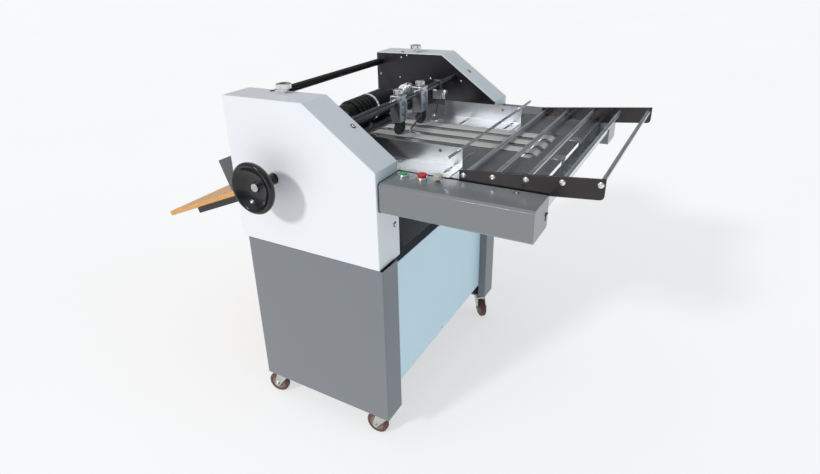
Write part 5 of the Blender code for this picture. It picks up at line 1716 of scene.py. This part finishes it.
@dataclass
class SideGuides(Assembly):
    """The two folded side guides, their wing screws and the rod across them."""

    xs: Span = (-0.130, 0.147)
    low: float = 0.884 + GAP
    top: float = 0.939
    sheet: float = 0.0015

    def build(self) -> None:
        """Makes the guides."""
        for name, wall, foot, reach in (("near", 0.2015, 0.0865, 0.060),
                                        ("far", 0.683, 0.0930, 0.085)):
            t = self.sheet
            path = [(wall - foot, self.low), (wall + t, self.low), (wall + t, self.top)]
            guide = Shape.prism(band(path, t, 0.0028), self.xs, Axis.X)
            for x in SLOT_XS:
                guide.cut(slotted_hole((x - 0.004, x + 0.004), (wall - reach, wall - 0.006),
                          (self.low - 0.01, self.low + 0.01)))
            guide.cut(Shape.bar(0.0045, Axis.Y, (0.082, 0.924), (wall - 0.01, wall + 0.01)),
                      Shape.bar(0.0043, Axis.Y, (0.136, 0.930), (wall - 0.01, wall + 0.01)))
            self.deliver(guide.softened(0.0003, 2), f"guide_{name}_folded", GUIDE_STAINLESS,
                         f"side_guide_{name}", f"guide_{name}")
            spots = [((x, wall - 0.034, self.low + t), (0, 0, 1)) for x in SLOT_XS]
            washer = Shape.turned([(0, -0.0002), (0.0078, -0.0002), (0.0078, 0.0010),
                                   (0, 0.0010)], Axis.Z, (0, 0), 36, 0.0003)
            head = dome_screw(0.0055, 0.0036).shifted(0, 0, 0.0010).beside(washer)
            self.screws(f"guide_screws_{name}", head, SCREW_ZINC, spots, 8, f"guide_{name}")
        rod = Shape.bar(0.004, Axis.Y, (0.136, 0.930), (0.133, 0.809), 0.0006, 36)
        self.deliver(rod, "guide_rod_turned", ROD_CHROME, "guide_rod", "guide_near")


@dataclass
class Separators(Assembly):
    """The bar over the belts, the two separator blocks and the hold-down clamp."""

    bar: Point = (-0.165, 0.992)
    top: float = 1.012
    low: float = 0.928

    def build(self) -> None:
        """Makes the bar and what hangs on it."""
        ys = (0.1138, MACHINE_WIDTH - 0.1138)
        self.deliver(Shape.bar(0.010, Axis.Y, self.bar, ys, 0.0006, 48), "separator_rail",
                     RAIL_STEEL, "separator_bar")
        for name, y in (("near", 0.411), ("far", 0.557)):
            self.block(name, y)
            self.knob(name, y)
        self.finger()
        self.clamp()

    def block(self, name: str, y: float) -> None:
        """A clamp block with its rounded recess and its friction pad."""
        x0, x1 = self.bar[0] - 0.016, self.bar[0] + 0.020
        z0, z1, body = self.low, self.top, f"separator_{name}"
        outline = [(x0, z0 + 0.012), (x0 + 0.008, z0), (x1, z0), (x1, z1), (x0, z1)]
        block = Shape.prism(outline, (y - 0.023, y + 0.023)).softened(0.0022, 3)
        arch = [(y - 0.0125, z0 - 0.01), (y + 0.0125, z0 - 0.01)]
        arch += arc(0.0125, range(0, 181, 15), (y, z1 - 0.030))
        block.cut(Shape.prism(arch, (x1 - 0.0035, x1 + 0.01), Axis.X),
                  Shape.bar(0.0104, Axis.Y, self.bar, (y - 0.05, y + 0.05), 0.001, 48),
                  Shape.bar(0.0042, Axis.X, (y, z1 - 0.030), (x1 - 0.012, x1 + 0.01), 0.0005, 32))
        self.deliver(
            block, f"separator_{name}_block", BLOCK_ALUMINIUM, f"separator_block_{name}", body)
        pad = filleted([
            (x0 + 0.014, z0 + 0.002), (x0 + 0.006, z0 - 0.020), (x0 + 0.010, 0.890),
            (x1 - 0.008, 0.890), (x1 - 0.002, z0 - 0.020), (x1 - 0.004, z0 + 0.002)], 0.005)
        self.deliver(Shape.prism(pad, (y - 0.0145, y + 0.0145)).softened(0.0012, 3),
                     f"separator_{name}_pad", PAD_RUBBER, body=body)
        spots = [((x, along, z), (1, 0, 0)) for x, along, z in (
            (x1 - 0.0035, y, z0 + 0.022), (x1, y - 0.0178, z1 - 0.010),
            (x1, y + 0.0178, z1 - 0.010))]
        self.screws(
            f"separator_{name}_screws", dome_screw(0.0032, 0.0018), DARK_STEEL, spots, body=body)

    def knob(self, name: str, y: float) -> None:
        """The knurled knob on a block."""
        x, t, node = self.bar[0] + 0.002, self.top + GAP, f"separator_knob_{name}"
        knob = Shape.turned([(0, t), (0.008, t), (0.008, t + 0.003), (0.0135, t + 0.003),
                             (0.0148, t + 0.0045), (0.0148, t + 0.0155), (0.0135, t + 0.017),
                             (0.006, t + 0.0175), (0, t + 0.0165)], Axis.Z, (x, y), 64, 0.0006)
        knob.beside(self.knurled(0.0155, (t + 0.005, t + 0.015), Axis.Z, (x, y), NICKEL, 44))
        self.deliver(knob, node + "_head", NICKEL, node, f"separator_screw_{name}")

    def finger(self) -> None:
        """The thin finger with a ball end beside the far block."""
        strip = Shape.wire([(-0.146, 0.5335, 0.923), (-0.1445, 0.505, 0.914),
                            (-0.1415, 0.470, 0.902), (-0.138, 0.436, 0.8945)], 0.0026)
        ball = Shape.turned([(0, -0.0055), (0.0039, -0.0039), (0.0055, 0), (0.0039, 0.0039),
                             (0, 0.0055)], Axis.Z, (-0.138, 0.434), 32, 0.002).shifted(0, 0, 0.8935)
        self.deliver(strip, "separator_finger", DARK_STEEL, body="separator_far")
        self.deliver(ball, "separator_finger_ball", CHROME, body="separator_far")

    def clamp(self) -> None:
        """The hold-down: block, thumb screw, arm and ball."""
        (x, z), y = self.bar, 0.700
        hanger = Shape.block((x - 0.015, x + 0.013), (y - 0.009, y + 0.009),
                             (z - 0.040, z + 0.016)).softened(0.0040, 3)
        hanger.cut(Shape.bar(0.0104, Axis.Y, self.bar, (y - 0.03, y + 0.03), 0.001, 48))
        self.deliver(hanger, "hold_down_hanger", DARK_STEEL, "hold_down_clamp", "hold_down")
        block = Shape.block((x - 0.016, x + 0.016), (y - 0.012, y + 0.012),
                            (z - 0.052, z - 0.019)).softened(0.0020, 3)
        self.deliver(block, "hold_down_block", BLOCK_ALUMINIUM, body="hold_down")
        spot, a = (y, z - 0.036), x + 0.014
        screw = Shape.turned([
            (0, a), (0.006, a), (0.006, a + 0.004), (0.0138, a + 0.004), (0.0148, a + 0.006),
            (0.0148, a + 0.017), (0.0138, a + 0.019), (0, a + 0.019)], Axis.X, spot, 64, 0.0005)
        screw.beside(self.knurled(0.0155, (a + 0.0065, a + 0.0165), Axis.X, spot, NICKEL, 44))
        self.deliver(screw, "hold_down_screw", NICKEL, body="hold_down")
        start = Vector((x + 0.004, y - 0.006, z - 0.046))
        end = Vector((x + 0.014, y - 0.060, 0.890))
        bend = start.lerp(end, 0.35) + Vector((0.002, 0, -0.006))
        arm = Shape.wire([
            start, bend, start.lerp(end, 0.7) + Vector((0.001, 0, -0.003)), end], 0.0028)
        ball = Shape.turned([(0, -0.006), (0.0042, -0.0042), (0.006, 0), (0.0042, 0.0042),
                             (0, 0.006)], Axis.Z, (end.x, end.y), 32, 0.002)
        self.deliver(arm, "hold_down_arm", DARK_STEEL, body="hold_down")
        self.deliver(ball.shifted(0, 0, end.z + 0.0035), "hold_down_ball", CHROME, body="hold_down")


# ---- drive and delivery
@dataclass
class Drive(Assembly):
    """The motor, its pulley and the drive belt."""

    motor: Point = (-0.160, 0.735)

    def build(self) -> None:
        """Makes the drive."""
        (x, z), f = self.motor, MACHINE_WIDTH - 0.1138
        shell = Shape.turned([
            (0, f - 0.150), (0.040, f - 0.150), (0.046, f - 0.143), (0.046, f - 0.036),
            (0.052, f - 0.034), (0.052, f), (0, f)], Axis.Y, self.motor, 72, 0.0018)
        fin = Shape.block((0.0, 0.0050), (-0.0011, 0.0011), (0.0, 0.096)).softened(0.0005, 2)
        fins = self.growers.teeth.grow(MOTOR_COAT, fin, Count=32, Radius=0.0455)
        fins.laid(Axis.Y, self.motor, f - 0.137)
        box = Shape.block((x - 0.030, x + 0.030), (f - 0.110, f - 0.050),
                          (z - 0.070, z - 0.040)).softened(0.003, 3)
        self.deliver(shell.beside(fins, box), "motor_housing", MOTOR_COAT, "drive_motor")
        p0, p1 = PULLEY_Y
        wheel = Shape.turned([(0, f - 0.026), (0.008, f - 0.026), (0.008, p0), *pulley(0.018),
                              (0, p1)], Axis.Y, self.motor, 64, 0.0005)
        self.deliver(wheel, "motor_pulley_turned", BLOCK_ALUMINIUM, "motor_pulley", "motor_rotor")
        loop = taut_loop([
            (TOOL_X, LOWER_Z, 0.035), (*REAR_ROLLER, 0.0245), (*self.motor, 0.018)], GAP + 0.0015)
        made = self.growers.bands.grow(SLEEVE_RUBBER, None, loop_mesh(loop, (p0 + p1) / 2),
                                       Width=p1 - p0 - 0.007, Thickness=0.003, Edge=0.0008)
        self.deliver(made, "drive_belt_band", SLEEVE_RUBBER, "drive_belt", weighted=False)


@dataclass
class Delivery(Assembly):
    """The sloping board behind, its stop plate and its bracket."""

    slope: float = radians(22.0)
    outer: Point = (-1.004, 0.565)
    length: float = 0.520
    thick: float = 0.018
    across: Span = (0.116, MACHINE_WIDTH - 0.116)

    def on_board(self, along: float, above: float) -> Point:
        """The x and z of a point along the board and above its face."""
        c, s = cos(self.slope), sin(self.slope)
        return (self.outer[0] + along * c - above * s, self.outer[1] + along * s + above * c)

    def build(self) -> None:
        """Makes the delivery tray."""
        board = Shape.prism([self.on_board(0, -self.thick), self.on_board(self.length, -self.thick),
                             self.on_board(self.length, 0), self.on_board(0, 0)], self.across)
        self.deliver(board.softened(0.0022, 3), "board", BOARD_AMBER, "delivery_board")
        path = [self.on_board(0.410, GAP), self.on_board(0.380, GAP), self.on_board(0.380, 0.112)]
        ys = (self.across[0] + 0.002, self.across[1] - 0.002)
        stop = Shape.prism(band(path[::-1], SHEET, 0.004), ys).softened(0.0005, 2)
        self.deliver(stop, "stop_plate", STOP_GREY, "delivery_stop")
        bracket = Shape.of_node(self.bench, "delivery_bracket").softened(0.0012, 2)
        self.deliver(bracket, "board_bracket", PLATE_BLACK, "delivery_bracket")
        normal = (-sin(self.slope), 0.0, cos(self.slope))
        spots = []
        for along in (0.215, 0.310, 0.395):
            for y in (0.140, 0.475, MACHINE_WIDTH - 0.140):
                x, z = self.on_board(along, GAP + SHEET if along > 0.38 else 0.0)
                spots.append(((x, y, z), normal))
        self.screws("board_screws", cross_screw(0.0045, 0.0016), SCREW_ZINC, spots, 5)


# ---- studio
@dataclass
class Studio:
    """The pale floor, the soft light and the camera.

    Attributes:
        floor_glow: How far the floor brightens itself.
        lit_way: The way the surround is brightest.
        lit_range: How much brighter it is there, and its mean level.
    """

    eye: tuple[float, float, float] = (0.9453, -1.5286, 1.3877)
    azimuth: float = 32.45
    elevation: float = 24.10
    roll: float = -2.56
    lens: float = 24.45
    shift: Point = (0.0388, -0.029)
    floor_glow: float = 0.58
    lit_way: tuple[float, float, float] = (-0.55, -0.80, 0.20)
    lit_range: Point = (0.20, 0.35)

    def build(self) -> None:
        """Sets up the studio."""
        self.floor()
        self.world()
        self.lamps()
        self.camera()
        bpy.context.scene.view_settings.view_transform = "Standard"

    def floor(self) -> None:
        """A wide pale floor."""
        work = bmesh.new()
        bmesh.ops.create_grid(work, x_segments=2, y_segments=2, size=60.0)
        mesh = bpy.data.meshes.new("floor")
        work.to_mesh(mesh)
        work.free()
        recipe = Recipe("floor_pale")
        cloud = recipe.noise(0.6, 3.0)
        colour = recipe.blend(cloud, (0.44, 0.44, 0.442), (0.47, 0.47, 0.472))
        recipe.shader.inputs["Emission Color"].default_value = (1.0, 1.0, 1.0, 1.0)
        mesh.materials.append(
            recipe.wire(colour, recipe.remap(cloud, 0.75, 0.9), Emission_Strength=self.floor_glow))
        item = linked(mesh)
        item.name = "floor"

    def world(self) -> None:
        """A pale surround, brighter above than at the sides."""
        world = bpy.data.worlds.new("studio")
        world.use_nodes = True
        tree = world.node_tree

        place = tree.nodes.new("ShaderNodeTexCoord").outputs["Generated"]
        lit_side = Vector(self.lit_way).normalized()
        aim = plugged(tree, "ShaderNodeVectorMath", {0: place, 1: lit_side},
                      {"operation": "DOT_PRODUCT"})
        level = plugged(tree, "ShaderNodeMath", {
            0: aim.outputs["Value"], 1: self.lit_range[0], 2: self.lit_range[1],
        }, {"operation": "MULTIPLY_ADD"})
        split = plugged(tree, "ShaderNodeSeparateXYZ", {0: place}, {})
        ramp = plugged(tree, "ShaderNodeValToRGB", {0: split.outputs["Z"]}, {})
        stops = ramp.color_ramp
        stops.elements[0].position, stops.elements[0].color = 0.0, (0.98, 1.0, 1.03, 1)
        stops.elements[1].position, stops.elements[1].color = 1.0, (1.90, 1.93, 2.00, 1)
        for spot, grey in ((0.12, 1.10), (0.28, 0.75), (0.46, 0.50), (0.66, 1.42)):
            added = stops.elements.new(spot)
            added.color = (grey * 0.99, grey, grey * 1.02, 1)
        for source, socket in zip((ramp, level), tree.nodes["Background"].inputs):
            tree.links.new(source.outputs[0], socket)
        bpy.context.scene.world = world

    def lamps(self) -> None:
        """A soft key from the left and a weaker fill."""
        for name, way, power, size in (("key", (-0.32, -0.85, 0.54), 1.5, 0.13),
                                       ("fill", (1.0, 0.10, 0.22), 0.46, 0.9)):
            lamp = bpy.data.lights.new(name, "SUN")
            lamp.energy, lamp.angle = power, size
            lamp.color = (1.0, 1.0, 1.0) if name == "key" else (0.26, 0.78, 1.0)
            item = bpy.data.objects.new(name, lamp)
            item.rotation_mode = "QUATERNION"
            item.rotation_quaternion = Vector(way).to_track_quat("Z", "Y")
            bpy.context.scene.collection.objects.link(item)

    def camera(self) -> None:
        """The camera."""
        az, el, roll = (radians(v) for v in (self.azimuth, self.elevation, self.roll))
        back = Vector((sin(az) * cos(el), -cos(az) * cos(el), sin(el)))
        right = Vector((0, 0, 1)).cross(back).normalized()
        up = back.cross(right)
        axes = (cos(roll) * right + sin(roll) * up,
                cos(roll) * up - sin(roll) * right, back)
        data = bpy.data.cameras.new("camera")
        data.lens, data.sensor_width = self.lens, 36.0
        data.shift_x, data.shift_y = self.shift
        data.clip_start, data.clip_end = 0.05, 200.0
        item = bpy.data.objects.new("camera", data)
        bpy.context.scene.collection.objects.link(item)
        item.matrix_world = Matrix.Translation(self.eye) @ Matrix(axes).transposed().to_4x4()
        bpy.context.scene.camera = item


def main() -> None:
    """Builds every sub-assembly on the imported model, then the studio."""
    logging.basicConfig(level=logging.INFO, format="%(message)s", stream=sys.stdout)
    for item in list(bpy.data.objects):
        bpy.data.objects.remove(item, do_unlink=True)
    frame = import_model()
    bench = Bench(frame)
    growers = Growers.built()
    yaws = {"near_front": 180.0, "near_rear": 190.0, "far_front": -48.0, "far_rear": 150.0}
    assemblies: list[Assembly] = [Stand(bench, growers)]
    assemblies += [Caster(bench, growers, place, yaw) for place, yaw in yaws.items()]
    assemblies += [Housing(bench, growers, side) for side in Side]
    assemblies += [kind(bench, growers) for kind in (ToolShafts, FeedTable, ControlBeams, FeedTray,
                                                     SideGuides, Separators, Drive, Delivery)]
    for assembly in assemblies:
        log.info("building %s", type(assembly).__name__)
        assembly.build()
    Studio().build()


if __name__ == "__main__":
    main()
